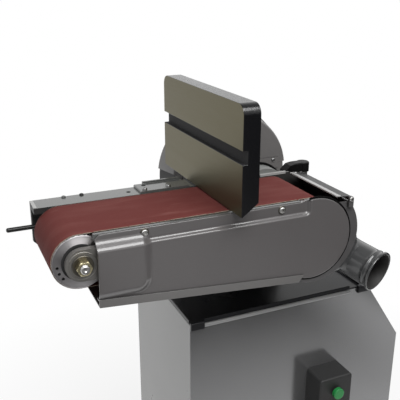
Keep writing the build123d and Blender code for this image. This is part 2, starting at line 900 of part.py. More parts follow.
with BuildPart() as cover_screws:
    for x in (cover_screw_first, cover_screw_second):
        cross_bar(x, -cover_screw_drop, cover_screw_radius, -ledge_face_y - cover_screw_height, -ledge_face_y)
    chamfer(cover_screws.edges().group_by(Axis.Y)[0], cover_screw_chamfer)
cover_screws.part.label = "cover_screws"
export_step(cover_screws.part, "parts/cover_screws.step")

# Dust pan: sloping floor under the lower run, with the lip that shows below the cover
lip_back_y = cover_face_y + pan_lip_gap
lip_front_y = lip_back_y + sheet
pan_tip = pan_end + pan_end_slant
with BuildPart() as dust_pan:
    side_slab(
        [
            (cover_left, fold_z(cover_left)), (pan_tip, fold_z(pan_tip)),
            (pan_end, fold_z(pan_end) - pan_lip_height), (cover_left, fold_z(cover_left) - pan_lip_height),
        ],
        -lip_front_y, -lip_back_y,
    )
    side_slab(
        [
            (cover_left, fold_z(cover_left) - pan_lip_height + sheet),
            (pan_end, fold_z(pan_end) - pan_lip_height + sheet),
            (pan_end, fold_z(pan_end) - pan_lip_height), (cover_left, fold_z(cover_left) - pan_lip_height),
        ],
        -lip_back_y, rear_wall_y,
    )
    side_slab(
        [
            (cover_left, -rear_wall_drop + rear_flange_height),
            (beam_start - pan_step, -rear_wall_drop + rear_flange_height),
            (beam_start - pan_step, -rear_wall_drop - pan_wall_gap),
            (beam_end, -rear_wall_drop - pan_wall_gap),
            (pan_end, fold_z(pan_end) - pan_lip_height), (cover_left, fold_z(cover_left) - pan_lip_height),
        ],
        rear_wall_y - sheet, rear_wall_y,
    )
dust_pan.part.label = "dust_pan"
export_step(dust_pan.part, "parts/dust_pan.step")

# Dust hood round the drive drum: a curved wall, a back plate with a cheek beside the belt, and a
# crescent rim in front
hood_centre = (drive_end_x + hood_x, -axis_drop - hood_drop)
hood_back_y = boss_front_y
port_point = Vector(*port_mouth)
port_direction = Vector(*port_axis).normalized()
stub_direction = Vector(*port_stub_axis).normalized()
port_corner = port_point - port_direction * port_straight
port_root = port_corner - stub_direction * port_stub
arm_origin = Vector(idler_x, belt_y, belt_top)


with BuildLine() as port_route:
    FilletPolyline(
        arm_origin + port_root, arm_origin + port_corner, arm_origin + port_point, radius=port_bend,
    )
port_section = Plane(origin=port_route.line @ 0, z_dir=port_route.line % 0)
flare_plane = Plane(origin=arm_origin + port_root, x_dir=stub_direction, z_dir=(0, 1, 0))
flap_floor = -flap_hinge_drop - flap_barrel - running_gap
flap_hinge_x = hood_centre[0] + math.sqrt(hood_radius**2 - (flap_floor - hood_centre[1]) ** 2)
flap_left = flap_hinge_x - flap_width

with BuildPart() as dust_hood:
    cross_bar(*hood_centre, hood_radius, -hood_front_y, hood_back_y)
    cross_bar(
        *hood_centre, hood_radius - hood_wall, hood_wall - hood_front_y, hood_back_y - hood_wall,
        Mode.SUBTRACT,
    )
    cross_bar(
        *cover_circle, cover_end_radius + hood_seam, -hood_front_y, hood_wall - hood_front_y, Mode.SUBTRACT,
    )
    side_slab(
        [
            (0, hood_radius), (flap_hinge_x, hood_radius), (flap_hinge_x, flap_floor),
            (flap_left, flap_floor),
            (flap_left, -axis_drop), (hood_start, fold_z(pan_tip)),
            (pan_end + hood_cut_gap, fold_z(pan_end) - 2 * pan_lip_height),
            (0, fold_z(pan_end) - 2 * pan_lip_height),
        ],
        -hood_front_y, hood_back_y, Mode.SUBTRACT,
    )
    cheek_start = drive_end_x - rail_stop + cheek_gap
    side_slab(
        [
            (cheek_start, -cheek_drop), (flap_left + cheek_lead, -cheek_drop), (flap_hinge_x, flap_floor),
            (flap_left, -axis_drop), (cheek_start, -axis_drop),
        ],
        hood_back_y - hood_wall, hood_back_y,
    )
    cross_bar(
        drive_end_x, -axis_drop, cheek_hole_radius, hood_back_y - hood_wall, hood_back_y, Mode.SUBTRACT,
    )
    for start, end, foot in (
        (-flap_front_y - flap_ear - flap_gap, -flap_front_y - flap_gap, hood_wall - hood_front_y),
        (flap_back_y + flap_gap, flap_back_y + flap_gap + flap_ear, flap_back_y + flap_gap),
    ):
        cross_bar(flap_hinge_x, -flap_hinge_drop, flap_barrel, start, end)
        arm_box(
            flap_hinge_x - flap_barrel, flap_hinge_x + flap_barrel, start, end,
            -flap_hinge_drop - 3 * flap_barrel, -flap_hinge_drop,
        )
        arm_box(
            flap_hinge_x - flap_barrel, flap_hinge_x + flap_barrel, start, max(foot, end),
            -flap_hinge_drop - 3 * flap_barrel, flap_floor,
        )
    cross_bar(
        flap_hinge_x, -flap_hinge_drop, flap_pin_radius + seat_fit,
        -flap_front_y - 2 * flap_ear, flap_back_y + 2 * flap_ear, Mode.SUBTRACT,
    )
    with BuildSketch(port_section) as port_hole:
        Circle(port_radius - port_wall)
    sweep(port_hole.sketch, path=port_route.line, mode=Mode.SUBTRACT)
dust_hood.part.label = "dust_hood"
export_step(dust_hood.part, "parts/dust_hood.step")

with BuildPart() as dust_port:
    with BuildSketch(port_section) as port_tube:
        Circle(port_radius)
    sweep(port_tube.sketch, path=port_route.line)
    with BuildSketch(flare_plane) as flare:
        with BuildLine():
            ThreePointArc((flare_start, flare_radius), (flare_middle, flare_hollow), (flare_end, flare_tip))
            Polyline(
                (flare_end, flare_tip), (flare_end, 0), (0, 0), (0, flare_radius),
                (flare_start, flare_radius),
            )
        make_face()
    revolve(flare.sketch, axis=Axis(flare_plane.origin, stub_direction))
    with BuildSketch(Plane(origin=arm_origin + port_point, z_dir=port_direction)):
        Circle(port_lip_radius)
    extrude(amount=-port_lip_length)
    with BuildSketch(port_section) as port_bore:
        Circle(port_radius - port_wall)
    sweep(port_bore.sketch, path=port_route.line, mode=Mode.SUBTRACT)
    cross_bar(*hood_centre, hood_radius, -2 * hood_front_y, hood_back_y, Mode.SUBTRACT)
    with BuildSketch(Plane(origin=arm_origin + port_point, z_dir=port_direction)):
        Circle(port_socket_radius)
    extrude(amount=-port_socket_depth, mode=Mode.SUBTRACT)
dust_port.part.label = "dust_port"
export_step(dust_port.part, "parts/dust_port.step")

with BuildPart() as drum_flap:
    side_slab(
        [
            (flap_left, -flap_hinge_drop + flap_rise), (flap_hinge_x, -flap_hinge_drop + flap_barrel),
            (flap_hinge_x, -flap_hinge_drop + flap_barrel - flap_thickness),
            (flap_left, -flap_hinge_drop + flap_rise - flap_thickness),
        ],
        -flap_front_y, flap_back_y,
    )
    cross_bar(flap_hinge_x, -flap_hinge_drop, flap_barrel, -flap_front_y, flap_back_y)
    cross_bar(
        flap_hinge_x, -flap_hinge_drop, flap_pin_radius + running_fit, -flap_front_y, flap_back_y,
        Mode.SUBTRACT,
    )
drum_flap.part.label = "drum_flap"
export_step(drum_flap.part, "parts/drum_flap.step")

with BuildPart() as flap_pin:
    cross_bar(
        flap_hinge_x, -flap_hinge_drop, flap_pin_radius, -flap_front_y - flap_ear - flap_pin_over,
        flap_back_y + flap_ear + flap_pin_over,
    )
flap_pin.part.label = "flap_pin"
export_step(flap_pin.part, "parts/flap_pin.step")

# Work table: a cast plate with a gauge slot, a deep rim, ribs behind and a bevelled foot
table_back_x = table_face_x + table_thickness
table_top = table_gap + table_height
table_middle_y = (table_back_y - table_front_y) / 2
table_span = table_front_y + table_back_y
with BuildPart() as table:
    with BuildSketch(arm_end(table_face_x)) as table_outline:
        with Locations((table_middle_y, table_gap + table_height / 2)):
            Rectangle(table_span, table_height)
        fillet(table_outline.vertices().group_by(Axis.Y)[-1], table_corner)
    extrude(amount=table_thickness)
    with BuildSketch(arm_end(table_back_x)):
        with Locations((table_middle_y, table_gap + table_bevel + (table_height - table_bevel) / 2)):
            RectangleRounded(
                table_span - 2 * table_rim, table_height - table_bevel - 2 * table_rim,
                table_corner - table_rim,
            )
    extrude(amount=table_skin - table_thickness, mode=Mode.SUBTRACT)
    slot_back = table_face_x + slot_depth + slot_backing
    arm_box(
        table_face_x + table_skin, slot_back, -table_front_y, table_back_y,
        slot_bottom - slot_backing, slot_bottom + slot_width + slot_backing,
    )
    for step in (0.25, 0.5, 0.75):
        rib_y = -table_front_y + step * table_span
        arm_box(
            table_face_x + table_skin, table_back_x - table_rib_step, rib_y - table_rib / 2,
            rib_y + table_rib / 2,
            table_gap + table_bevel, table_top - table_rim,
        )
    arm_box(
        table_face_x - cut_over, table_face_x + slot_depth, -table_front_y, table_back_y,
        slot_bottom, slot_bottom + slot_width, Mode.SUBTRACT,
    )
    side_slab(
        [
            (table_face_x + cut_over, table_gap - cut_over), (table_back_x + cut_over, table_gap - cut_over),
            (table_back_x + cut_over, table_gap + table_bevel),
        ],
        -table_front_y, table_back_y, Mode.SUBTRACT,
    )
    arm_box(
        table_face_x + table_skin, table_back_x,
        trunnion_plate_y - 3 * trunnion_plate, trunnion_plate_y + 2 * trunnion_plate,
        table_gap + table_bevel, table_gap + table_height * pad_share,
    )
table.part.label = "table"
export_step(table.part, "parts/table.step")

# Trunnion behind the table: a curved slotted plate about the table's lower front edge
pivot = (table_face_x, table_gap)
trunnion_end = trunnion_plate_y + trunnion_plate
slot_low = stud_low_angle - trunnion_slot_room
slot_high = stud_high_angle + table_tilt_max + trunnion_slot_room


def around_pivot(radius, degrees):
    """Point at a radius and an angle from the table's tilting edge."""
    angle = math.radians(degrees)
    return (pivot[0] + radius * math.cos(angle), pivot[1] + radius * math.sin(angle))


with BuildPart() as table_trunnion:
    with BuildSketch(arm_side(trunnion_end)):
        with BuildLine():
            outer = trunnion_path + trunnion_band
            inner = trunnion_path - trunnion_band
            low = slot_low - trunnion_low_end
            high = slot_high + trunnion_high_end
            middle = (low + high) / 2
            ThreePointArc(around_pivot(outer, low), around_pivot(outer, middle), around_pivot(outer, high))
            Polyline(around_pivot(outer, high), (table_back_x, around_pivot(outer, high)[1]),
                     (table_back_x, around_pivot(inner, high)[1]), around_pivot(inner, high))
            ThreePointArc(around_pivot(inner, high), around_pivot(inner, middle), around_pivot(inner, low))
            Line(around_pivot(inner, low), around_pivot(outer, low))
        make_face()
        with BuildLine():
            middle = (slot_low + slot_high) / 2
            slot_arc = ThreePointArc(
                around_pivot(trunnion_path, slot_low), around_pivot(trunnion_path, middle),
                around_pivot(trunnion_path, slot_high),
            )
        SlotArc(slot_arc, 2 * trunnion_slot, mode=Mode.SUBTRACT)
    extrude(amount=trunnion_plate)
    arm_box(
        table_back_x, table_back_x + trunnion_flange, trunnion_plate_y - 2 * trunnion_band, trunnion_end,
        around_pivot(trunnion_path, high)[1] - trunnion_flange_low,
        around_pivot(outer, high)[1] + trunnion_band,
    )
table_trunnion.part.label = "table_trunnion"
export_step(table_trunnion.part, "parts/table_trunnion.step")

# Table bracket: a plate on the rail with an upright that holds the two trunnion studs
bracket_top = bracket_thickness - rail_top
relief_top = table_gap - 4 * running_gap
relief_start = table_face_x - 3 * bracket_thickness
relief_end = table_back_x + 3 * bracket_thickness
stud_low = around_pivot(trunnion_path, stud_low_angle)
stud_high = around_pivot(trunnion_path, stud_high_angle)
with BuildPart() as table_bracket:
    side_slab(
        [
            (bracket_start, -rail_top), (bracket_end, -rail_top), (bracket_end, bracket_top),
            (relief_end, bracket_top), (relief_end - bracket_thickness, relief_top),
            (relief_start + bracket_thickness, relief_top), (relief_start, bracket_top),
            (bracket_start, bracket_top),
        ],
        rail_inner_y + bracket_gap, rail_outer_y,
    )
    chamfer(table_bracket.edges().group_by(Axis.X)[0].group_by(Axis.Z)[-1], bracket_chamfer)
    arm_box(
        bracket_rib_start, relief_start, bracket_back_y - bracket_rib, bracket_back_y, -rail_top,
        bracket_rib_height,
    )
    with BuildSketch(arm_plan(bracket_top)):
        with Locations((bracket_hole_x, bracket_hole_y)):
            Circle(rail_hole_radius)
    extrude(amount=-bracket_thickness, mode=Mode.SUBTRACT)
    for x, z in (stud_low, stud_high):
        cross_bar(x, z, bracket_lug, bracket_back_y - bracket_upright, bracket_back_y)
    side_slab(
        [
            (stud_low[0] - bracket_lug, -rail_top), (stud_low[0] + bracket_lug, -rail_top),
            (stud_low[0] + bracket_lug, stud_low[1]), (stud_high[0] + bracket_lug, stud_high[1]),
            (stud_high[0] - bracket_lug, stud_high[1]),
        ],
        bracket_back_y - bracket_upright, bracket_back_y,
    )
    arm_box(
        stud_low[0] - 2 * bracket_lug, stud_low[0] + 2 * bracket_lug, bracket_back_y - bracket_upright,
        bracket_back_y, -rail_top - 2 * bracket_lug, -rail_top, Mode.SUBTRACT,
    )
    for x, z in (stud_low, stud_high):
        cross_bar(
            x, z, stud_radius + seat_fit, bracket_back_y - bracket_upright, bracket_back_y, Mode.SUBTRACT,
        )
table_bracket.part.label = "table_bracket"
export_step(table_bracket.part, "parts/table_bracket.step")

with BuildPart() as bracket_screws:
    with BuildSketch(arm_plan(bracket_top)):
        for x in (bracket_screw_first, bracket_screw_second, bracket_screw_third):
            with Locations((x, bracket_screw_y)):
                Circle(cover_screw_radius)
    extrude(amount=cover_screw_height)
    chamfer(bracket_screws.edges().group_by(Axis.Z)[-1], cover_screw_chamfer)
bracket_screws.part.label = "bracket_screws"
export_step(bracket_screws.part, "parts/bracket_screws.step")

nut_gap_y = trunnion_end + running_gap
with BuildPart() as trunnion_studs:
    for x, z in (stud_low, stud_high):
        cross_bar(x, z, stud_radius, bracket_back_y - bracket_upright, nut_gap_y + stud_out)
    with BuildSketch(arm_side(nut_gap_y + stud_nut)):
        with Locations(stud_low):
            RegularPolygon(stud_hex, 6, major_radius=False)
    extrude(amount=stud_nut)
trunnion_studs.part.label = "trunnion_studs"
export_step(trunnion_studs.part, "parts/trunnion_studs.step")

with BuildPart() as table_lock_lever:
    cross_bar(*stud_high, lever_hub, nut_gap_y, nut_gap_y + lever_height)
    with BuildSketch(arm_side(nut_gap_y + lever_height - lock_bar_step)):
        with BuildLine():
            Polyline(
                (stud_high[0], stud_high[1] + lock_root),
                (stud_high[0] + lever_reach, stud_high[1] + lock_tip),
                (stud_high[0] + lever_reach, stud_high[1] - lock_tip),
                (stud_high[0], stud_high[1] - lock_root),
                close=True,
            )
        make_face()
    extrude(amount=lock_bar)
    fillet(table_lock_lever.edges().group_by(Axis.X)[-1], lock_round)
    cross_bar(*stud_high, stud_radius + running_fit, nut_gap_y, nut_gap_y + lock_bore, Mode.SUBTRACT)
table_lock_lever.part.label = "table_lock_lever"
export_step(table_lock_lever.part, "parts/table_lock_lever.step")

# Headstock: two bearing towers on one base, with a trunnion in front for the arm
head_front = front_tower_y
head_back = rear_tower_y + tower_thickness
tower_half = tower_foot_width / 2
head_floor = stand_drop
tower_outline = [
    (drive_end_x - hub_radius, -axis_drop), (drive_end_x + hub_radius, -axis_drop),
    (drive_end_x + tower_half, head_floor), (drive_end_x - tower_half, head_floor),
]
with BuildPart() as headstock:
    for y in (front_tower_y, rear_tower_y):
        side_slab(tower_outline, y, y + tower_thickness)
        cross_bar(drive_end_x, -axis_drop, hub_radius, y, y + tower_thickness)
        arm_box(
            drive_end_x - tower_window_width / 2, drive_end_x + tower_window_width / 2, y,
            y + tower_thickness,
            head_floor + 2 * head_base_thickness, head_floor + 2 * head_base_thickness + tower_window_height,
            Mode.SUBTRACT,
        )
    arm_box(
        drive_end_x - tower_half - head_base_margin, drive_end_x + tower_half + head_base_margin,
        head_front - head_base_front, head_back + head_base_margin, head_floor,
        head_floor + head_base_thickness,
    )
    fillet(headstock.edges().filter_by(Axis.Z).group_by(SortBy.LENGTH)[0], head_corner)
    turned(
        [
            (front_tower_y - trunnion_length, 0), (front_tower_y, 0), (front_tower_y, hub_radius),
            (front_tower_y - collar_length, collar_radius), (front_tower_y - collar_length, trunnion_radius),
            (front_tower_y - trunnion_length, trunnion_radius),
        ],
        spindle_x, axis_z,
    )
    cross_bar(drive_end_x, -axis_drop, shaft_bore, front_tower_y - trunnion_length, head_back, Mode.SUBTRACT)
    front_seat = front_tower_y + tower_thickness - bearing_width
    rear_seat = rear_tower_y + bearing_width
    cross_bar(
        drive_end_x, -axis_drop, bearing_radius, front_seat, front_tower_y + tower_thickness, Mode.SUBTRACT,
    )
    cross_bar(drive_end_x, -axis_drop, bearing_radius, rear_tower_y, rear_seat, Mode.SUBTRACT)
    arm_box(
        drive_end_x - belt_slot_length / 2, drive_end_x + belt_slot_length / 2,
        pulley_y - belt_slot_width / 2, pulley_y + belt_slot_width / 2,
        head_floor, head_floor + head_base_thickness, Mode.SUBTRACT,
    )
    side_bolt_x = tower_half + head_base_margin - head_bolt_inset
    head_bolts = [
        (drive_end_x - head_bolt_x, head_front - head_bolt_inset), (drive_end_x - side_bolt_x, pulley_y),
        (drive_end_x + head_bolt_x, head_front - head_bolt_inset), (drive_end_x + side_bolt_x, pulley_y),
    ]
    with BuildSketch(arm_plan(head_floor)):
        with Locations(*head_bolts):
            Circle(head_bolt_radius + seat_fit)
    extrude(amount=head_base_thickness, mode=Mode.SUBTRACT)
headstock.part.label = "headstock"
export_step(headstock.part, "parts/headstock.step")

with BuildPart() as headstock_bolts:
    with BuildSketch(arm_plan(head_floor)):
        with Locations(*head_bolts):
            Circle(head_bolt_radius)
    extrude(amount=head_base_thickness)
    with BuildSketch(arm_plan(head_floor + head_base_thickness)):
        with Locations(*head_bolts):
            RegularPolygon(head_bolt_hex, 6, major_radius=False)
    extrude(amount=head_bolt_head)
headstock_bolts.part.label = "headstock_bolts"
export_step(headstock_bolts.part, "parts/headstock_bolts.step")

with BuildPart() as spindle_bearings:
    for start, end in ((front_seat, front_seat + bearing_width), (rear_tower_y, rear_seat)):
        turned(ring(start, end, spindle_radius + running_fit, bearing_radius - seat_fit), spindle_x, axis_z)
spindle_bearings.part.label = "spindle_bearings"
export_step(spindle_bearings.part, "parts/spindle_bearings.step")

# Cover over the pulley, an arch between the two towers
cover_start = front_tower_y + tower_thickness
with BuildPart() as pulley_cover:
    with BuildSketch(arm_side(rear_tower_y)):
        with Locations((drive_end_x, -axis_drop)):
            Circle(pulley_cover_radius)
        with Locations((drive_end_x, (head_floor + head_base_thickness - axis_drop) / 2)):
            Rectangle(2 * pulley_cover_radius, -axis_drop - head_floor - head_base_thickness)
        with Locations((drive_end_x, -axis_drop)):
            Circle(pulley_cover_radius - pulley_cover_wall, mode=Mode.SUBTRACT)
        with Locations((drive_end_x, (head_floor + head_base_thickness - axis_drop) / 2)):
            Rectangle(
                2 * (pulley_cover_radius - pulley_cover_wall), -axis_drop - head_floor - head_base_thickness,
                mode=Mode.SUBTRACT,
            )
    extrude(amount=rear_tower_y - cover_start)
pulley_cover.part.label = "pulley_cover"
export_step(pulley_cover.part, "parts/pulley_cover.step")


def grooved_pulley(x, z, diameter, bore):
    """Single groove pulley on the drive belt's line."""
    start = pulley_y - pulley_width / 2
    end = pulley_y + pulley_width / 2
    outer = diameter / 2
    with BuildPart() as pulley:
        turned(
            [
                (start, bore), (end, bore), (end, outer), (pulley_y + groove_top / 2, outer),
                (pulley_y + groove_bottom / 2, outer - groove_depth),
                (pulley_y - groove_bottom / 2, outer - groove_depth),
                (pulley_y - groove_top / 2, outer), (start, outer),
            ],
            x, z,
        )
    return pulley


spindle_pulley = grooved_pulley(spindle_x, axis_z, spindle_pulley_diameter, spindle_radius + seat_fit)
spindle_pulley.part.label = "spindle_pulley"
export_step(spindle_pulley.part, "parts/spindle_pulley.step")
motor_pulley = grooved_pulley(spindle_x, motor_z, motor_pulley_diameter, motor_shaft_radius + seat_fit)
motor_pulley.part.label = "motor_pulley"
export_step(motor_pulley.part, "parts/motor_pulley.step")

# Spindle: one shaft from the drive drum through the headstock to the disc
disc_back_y = disc_face_y - abrasive_thickness - disc_thickness
with BuildPart() as spindle:
    turned(
        [
            (-drum_half, 0), (disc_back_y + disc_hub_socket, 0),
            (disc_back_y + disc_hub_socket, spindle_end_radius),
            (head_back + spindle_step_back, spindle_end_radius),
            (head_back + spindle_step_back, spindle_radius),
            (front_tower_y - spindle_step_front, spindle_radius),
            (front_tower_y - spindle_step_front, spindle_end_radius),
            (end_chamfer - drum_half, spindle_end_radius), (-drum_half, spindle_end_radius - end_chamfer),
        ],
        spindle_x, axis_z,
    )
spindle.part.label = "spindle"
export_step(spindle.part, "parts/spindle.step")

disc_radius = disc_diameter / 2
disc_front_y = disc_back_y + disc_thickness
disc_socket_y = disc_back_y + disc_hub_socket + seat_fit
with BuildPart() as disc_plate:
    turned(
        [
            (disc_back_y - disc_hub_length, spindle_end_radius + seat_fit),
            (disc_socket_y, spindle_end_radius + seat_fit), (disc_socket_y, 0), (disc_front_y, 0),
            (disc_front_y, disc_radius), (disc_back_y, disc_radius), (disc_back_y, disc_radius - disc_rim),
            (disc_back_y + disc_dish, disc_radius - disc_rim - disc_dish_slope),
            (disc_back_y + disc_dish, disc_hub_radius + disc_dish_slope), (disc_back_y, disc_hub_radius),
            (disc_back_y - disc_hub_length, disc_hub_radius),
        ],
        spindle_x, axis_z,
    )
disc_plate.part.label = "disc_plate"
export_step(disc_plate.part, "parts/disc_plate.step")

with BuildPart() as disc_abrasive:
    cross_bar(drive_end_x, -axis_drop, disc_radius, disc_front_y, disc_face_y)
disc_abrasive.part.label = "disc_abrasive"
export_step(disc_abrasive.part, "parts/disc_abrasive.step")


def guard_bowl(bowl, shrink):
    """Dished guard drawn in by shrink, its corner rounded inside and out."""
    back = guard_back_radius - shrink
    front = guard_front_radius - shrink
    turned(
        [
            (guard_back_y, guard_hole_radius), (guard_back_y, back), (guard_front_y, front),
            (guard_front_y, front - guard_wall), (guard_back_y + guard_wall, back - guard_wall),
            (guard_back_y + guard_wall, guard_hole_radius),
        ],
        spindle_x, axis_z,
    )
    rims = bowl.edges().filter_by(GeomType.CIRCLE)
    fillet(rims.filter_by(lambda rim: abs(rim.radius - back) < seat_fit), guard_corner)
    rims = bowl.edges().filter_by(GeomType.CIRCLE)
    fillet(
        rims.filter_by(lambda rim: abs(rim.radius - back + guard_wall) < seat_fit), guard_corner - guard_wall,
    )


split_z = guard_split - axis_drop
guard_cut = guard_front_radius + guard_reach
with BuildPart() as disc_guard:
    guard_bowl(disc_guard, 0)
    arm_box(
        drive_end_x - guard_cut, drive_end_x + guard_cut, guard_back_y, guard_front_y,
        -axis_drop - guard_cut, split_z, Mode.SUBTRACT,
    )
    arm_box(
        drive_end_x - guard_rib_width / 2, drive_end_x + guard_rib_width / 2, guard_back_y - guard_rib_height,
        guard_back_y, guard_ring_radius + running_gap - axis_drop,
        guard_back_radius - axis_drop - guard_corner,
    )
disc_guard.part.label = "disc_guard"
export_step(disc_guard.part, "parts/disc_guard.step")

with BuildPart() as disc_shroud:
    guard_bowl(disc_shroud, guard_wall + guard_nest_gap)
    arm_box(
        drive_end_x - guard_cut, drive_end_x + guard_cut, guard_back_y, guard_front_y,
        split_z - guard_seam, guard_cut, Mode.SUBTRACT,
    )
    arm_box(
        drive_end_x - guard_tab, drive_end_x + guard_tab, guard_back_y - guard_wall, guard_back_y,
        split_z - guard_overlap, split_z + guard_overlap,
    )
    cross_bar(drive_end_x, -axis_drop, guard_ring_radius, head_back, guard_back_y)
    cross_bar(drive_end_x, -axis_drop, guard_hole_radius, head_back, guard_back_y, Mode.SUBTRACT)
disc_shroud.part.label = "disc_shroud"
export_step(disc_shroud.part, "parts/disc_shroud.step")

with BuildPart() as guard_screws:
    for side in (-1, 1):
        cross_bar(
            drive_end_x + side * (guard_tab - guard_overlap), split_z + guard_overlap / 2, guard_screw_radius,
            guard_back_y - 2 * guard_wall, guard_back_y - guard_wall,
        )
guard_screws.part.label = "guard_screws"
export_step(guard_screws.part, "parts/guard_screws.step")

# Seat rail in front of the disc, where the table moves to for disc work
seat_top = -axis_drop - seat_rail_drop
seat_under = seat_top - seat_rail_thickness
seat_y = disc_face_y + seat_gap
leg_toe = base_back - belt_y - top_lip_thickness - running_gap
with BuildPart() as table_seat_rail:
    arm_box(
        drive_end_x - seat_rail_length / 2, drive_end_x + seat_rail_length / 2, seat_y,
        seat_y + seat_rail_width,
        seat_under, seat_top,
    )
    for side in (-1, 1):
        with BuildSketch(arm_end(drive_end_x + side * seat_leg_x - seat_leg / 2)):
            with BuildLine():
                Polyline(
                    (leg_toe - seat_foot, stand_drop), (leg_toe, stand_drop),
                    (leg_toe, stand_drop + seat_leg),
                    (seat_y + seat_rail_width, seat_under), (seat_y, seat_under),
                    (seat_y, seat_under - seat_leg), (leg_toe - seat_foot, stand_drop + seat_leg), close=True,
                )
            make_face()
        extrude(amount=seat_leg)
    with BuildSketch(arm_plan(seat_top)):
        with Locations((drive_end_x, seat_y + seat_rail_width / 2)):
            with GridLocations(seat_hole_spacing_x, seat_hole_spacing_y, 2, 2):
                Circle(seat_hole_radius)
    extrude(amount=-seat_rail_thickness, mode=Mode.SUBTRACT)
table_seat_rail.part.label = "table_seat_rail"
export_step(table_seat_rail.part, "parts/table_seat_rail.step")

# Stand: bent sheet panels on two foot rails, with a black top
panel_bottom = foot_thickness
panel_top = stand_height - top_thickness
panel_outline = [
    (base_left, panel_bottom), (base_right, panel_bottom), (base_right, knee_height),
    (top_right, panel_top), (base_left, panel_top),
]
with BuildPart() as front_panel:
    with BuildSketch(stand_side(base_front + sheet)):
        with BuildLine():
            Polyline(*panel_outline, close=True)
        make_face()
    extrude(amount=sheet)
    hem_end = (base_left + hem_inset, base_front, panel_top - hem_radius)
    with BuildSketch(Plane(origin=hem_end, x_dir=(0, 1, 0), z_dir=(1, 0, 0))):
        Circle(hem_radius)
    extrude(amount=tray_length - 2 * hem_inset)
front_panel.part.label = "front_panel"
export_step(front_panel.part, "parts/front_panel.step")

with BuildPart() as rear_panel:
    with BuildSketch(stand_side(base_back)):
        with BuildLine():
            Polyline(*panel_outline, close=True)
        make_face()
        with Locations((0, louvre_top - (louvre_count - 1) * louvre_pitch / 2)):
            with GridLocations(0, louvre_pitch, 1, louvre_count):
                SlotOverall(louvre_length, louvre_height, mode=Mode.SUBTRACT)
    extrude(amount=sheet)
rear_panel.part.label = "rear_panel"
export_step(rear_panel.part, "parts/rear_panel.step")

with BuildPart() as panel_screws:
    screw_xs = (base_left + panel_screw_inset, base_right - panel_screw_inset)
    screw_zs = (foot_wall_height / 2, knee_height - panel_screw_inset)
    with BuildSketch(stand_side(base_back + panel_screw_height)):
        for x in screw_xs:
            for z in screw_zs:
                with Locations((x, z)):
                    Circle(panel_screw_radius)
    extrude(amount=panel_screw_height)
    chamfer(panel_screws.edges().group_by(Axis.Y)[-1], panel_screw_chamfer)
panel_screws.part.label = "panel_screws"
export_step(panel_screws.part, "parts/panel_screws.step")

with BuildPart() as left_panel:
    with BuildSketch(stand_side(base_back - sheet)):
        with Locations((base_left + sheet / 2, (panel_bottom + panel_top) / 2)):
            Rectangle(sheet, panel_top - panel_bottom)
    extrude(amount=base_depth - 2 * sheet)
left_panel.part.label = "left_panel"
export_step(left_panel.part, "parts/left_panel.step")

with BuildPart() as right_panel:
    with BuildSketch(stand_side(base_back - sheet)):
        with BuildLine():
            Polyline(
                (base_right, panel_bottom), (base_right, knee_height), (top_right, panel_top),
                (top_right - 1.2 * sheet, panel_top), (base_right - sheet, knee_height - sheet / 3),
                (base_right - sheet, panel_bottom), close=True,
            )
        make_face()
    extrude(amount=base_depth - 2 * sheet)
right_panel.part.label = "right_panel"
export_step(right_panel.part, "parts/right_panel.step")

with BuildPart() as stand_top:
    with BuildSketch(Plane.XY.offset(panel_top)):
        with Locations(((base_left + top_right) / 2, 0)):
            Rectangle(top_length, base_depth)
        with Locations((spindle_x, belt_y + pulley_y)):
            Rectangle(belt_slot_length, belt_slot_width, mode=Mode.SUBTRACT)
    extrude(amount=top_thickness)
    with BuildSketch(Plane.XY.offset(stand_height)):
        with Locations((tray_middle, 0)):
            Rectangle(tray_length, base_depth)
            Rectangle(
                tray_length - 2 * top_lip_thickness, base_depth - 2 * top_lip_thickness, mode=Mode.SUBTRACT,
            )
        for x in (base_left, base_left + tray_length):
            with Locations((x, base_front)):
                Rectangle(2 * hem_inset, 4 * top_lip_thickness, mode=Mode.SUBTRACT)
    extrude(amount=top_lip_height)
stand_top.part.label = "stand_top"
export_step(stand_top.part, "parts/stand_top.step")


def foot_rail(side):
    """Angle rail under one side of the stand, with two floor bolt holes."""
    wall = side * (base_length / 2 - sheet)
    with BuildPart() as rail:
        with BuildSketch(Plane.XY):
            with Locations((side * (base_length / 2 + foot_width / 2 - foot_thickness), 0)):
                Rectangle(foot_width + 2 * foot_thickness, base_depth)
            with Locations((side * (base_length / 2 + floor_hole_offset), 0)):
                with GridLocations(0, base_depth - 2 * floor_hole_inset, 1, 2):
                    Circle(floor_hole_radius, mode=Mode.SUBTRACT)
        extrude(amount=foot_thickness)
        with BuildSketch(Plane.XY.offset(foot_thickness)):
            with Locations((wall - side * foot_thickness / 2, 0)):
                Rectangle(foot_thickness, base_depth - 2 * sheet)
        extrude(amount=foot_wall_height - foot_thickness)
    return rail


left_foot_rail = foot_rail(-1)
left_foot_rail.part.label = "left_foot_rail"
export_step(left_foot_rail.part, "parts/left_foot_rail.step")
right_foot_rail = foot_rail(1)
right_foot_rail.part.label = "right_foot_rail"
export_step(right_foot_rail.part, "parts/right_foot_rail.step")

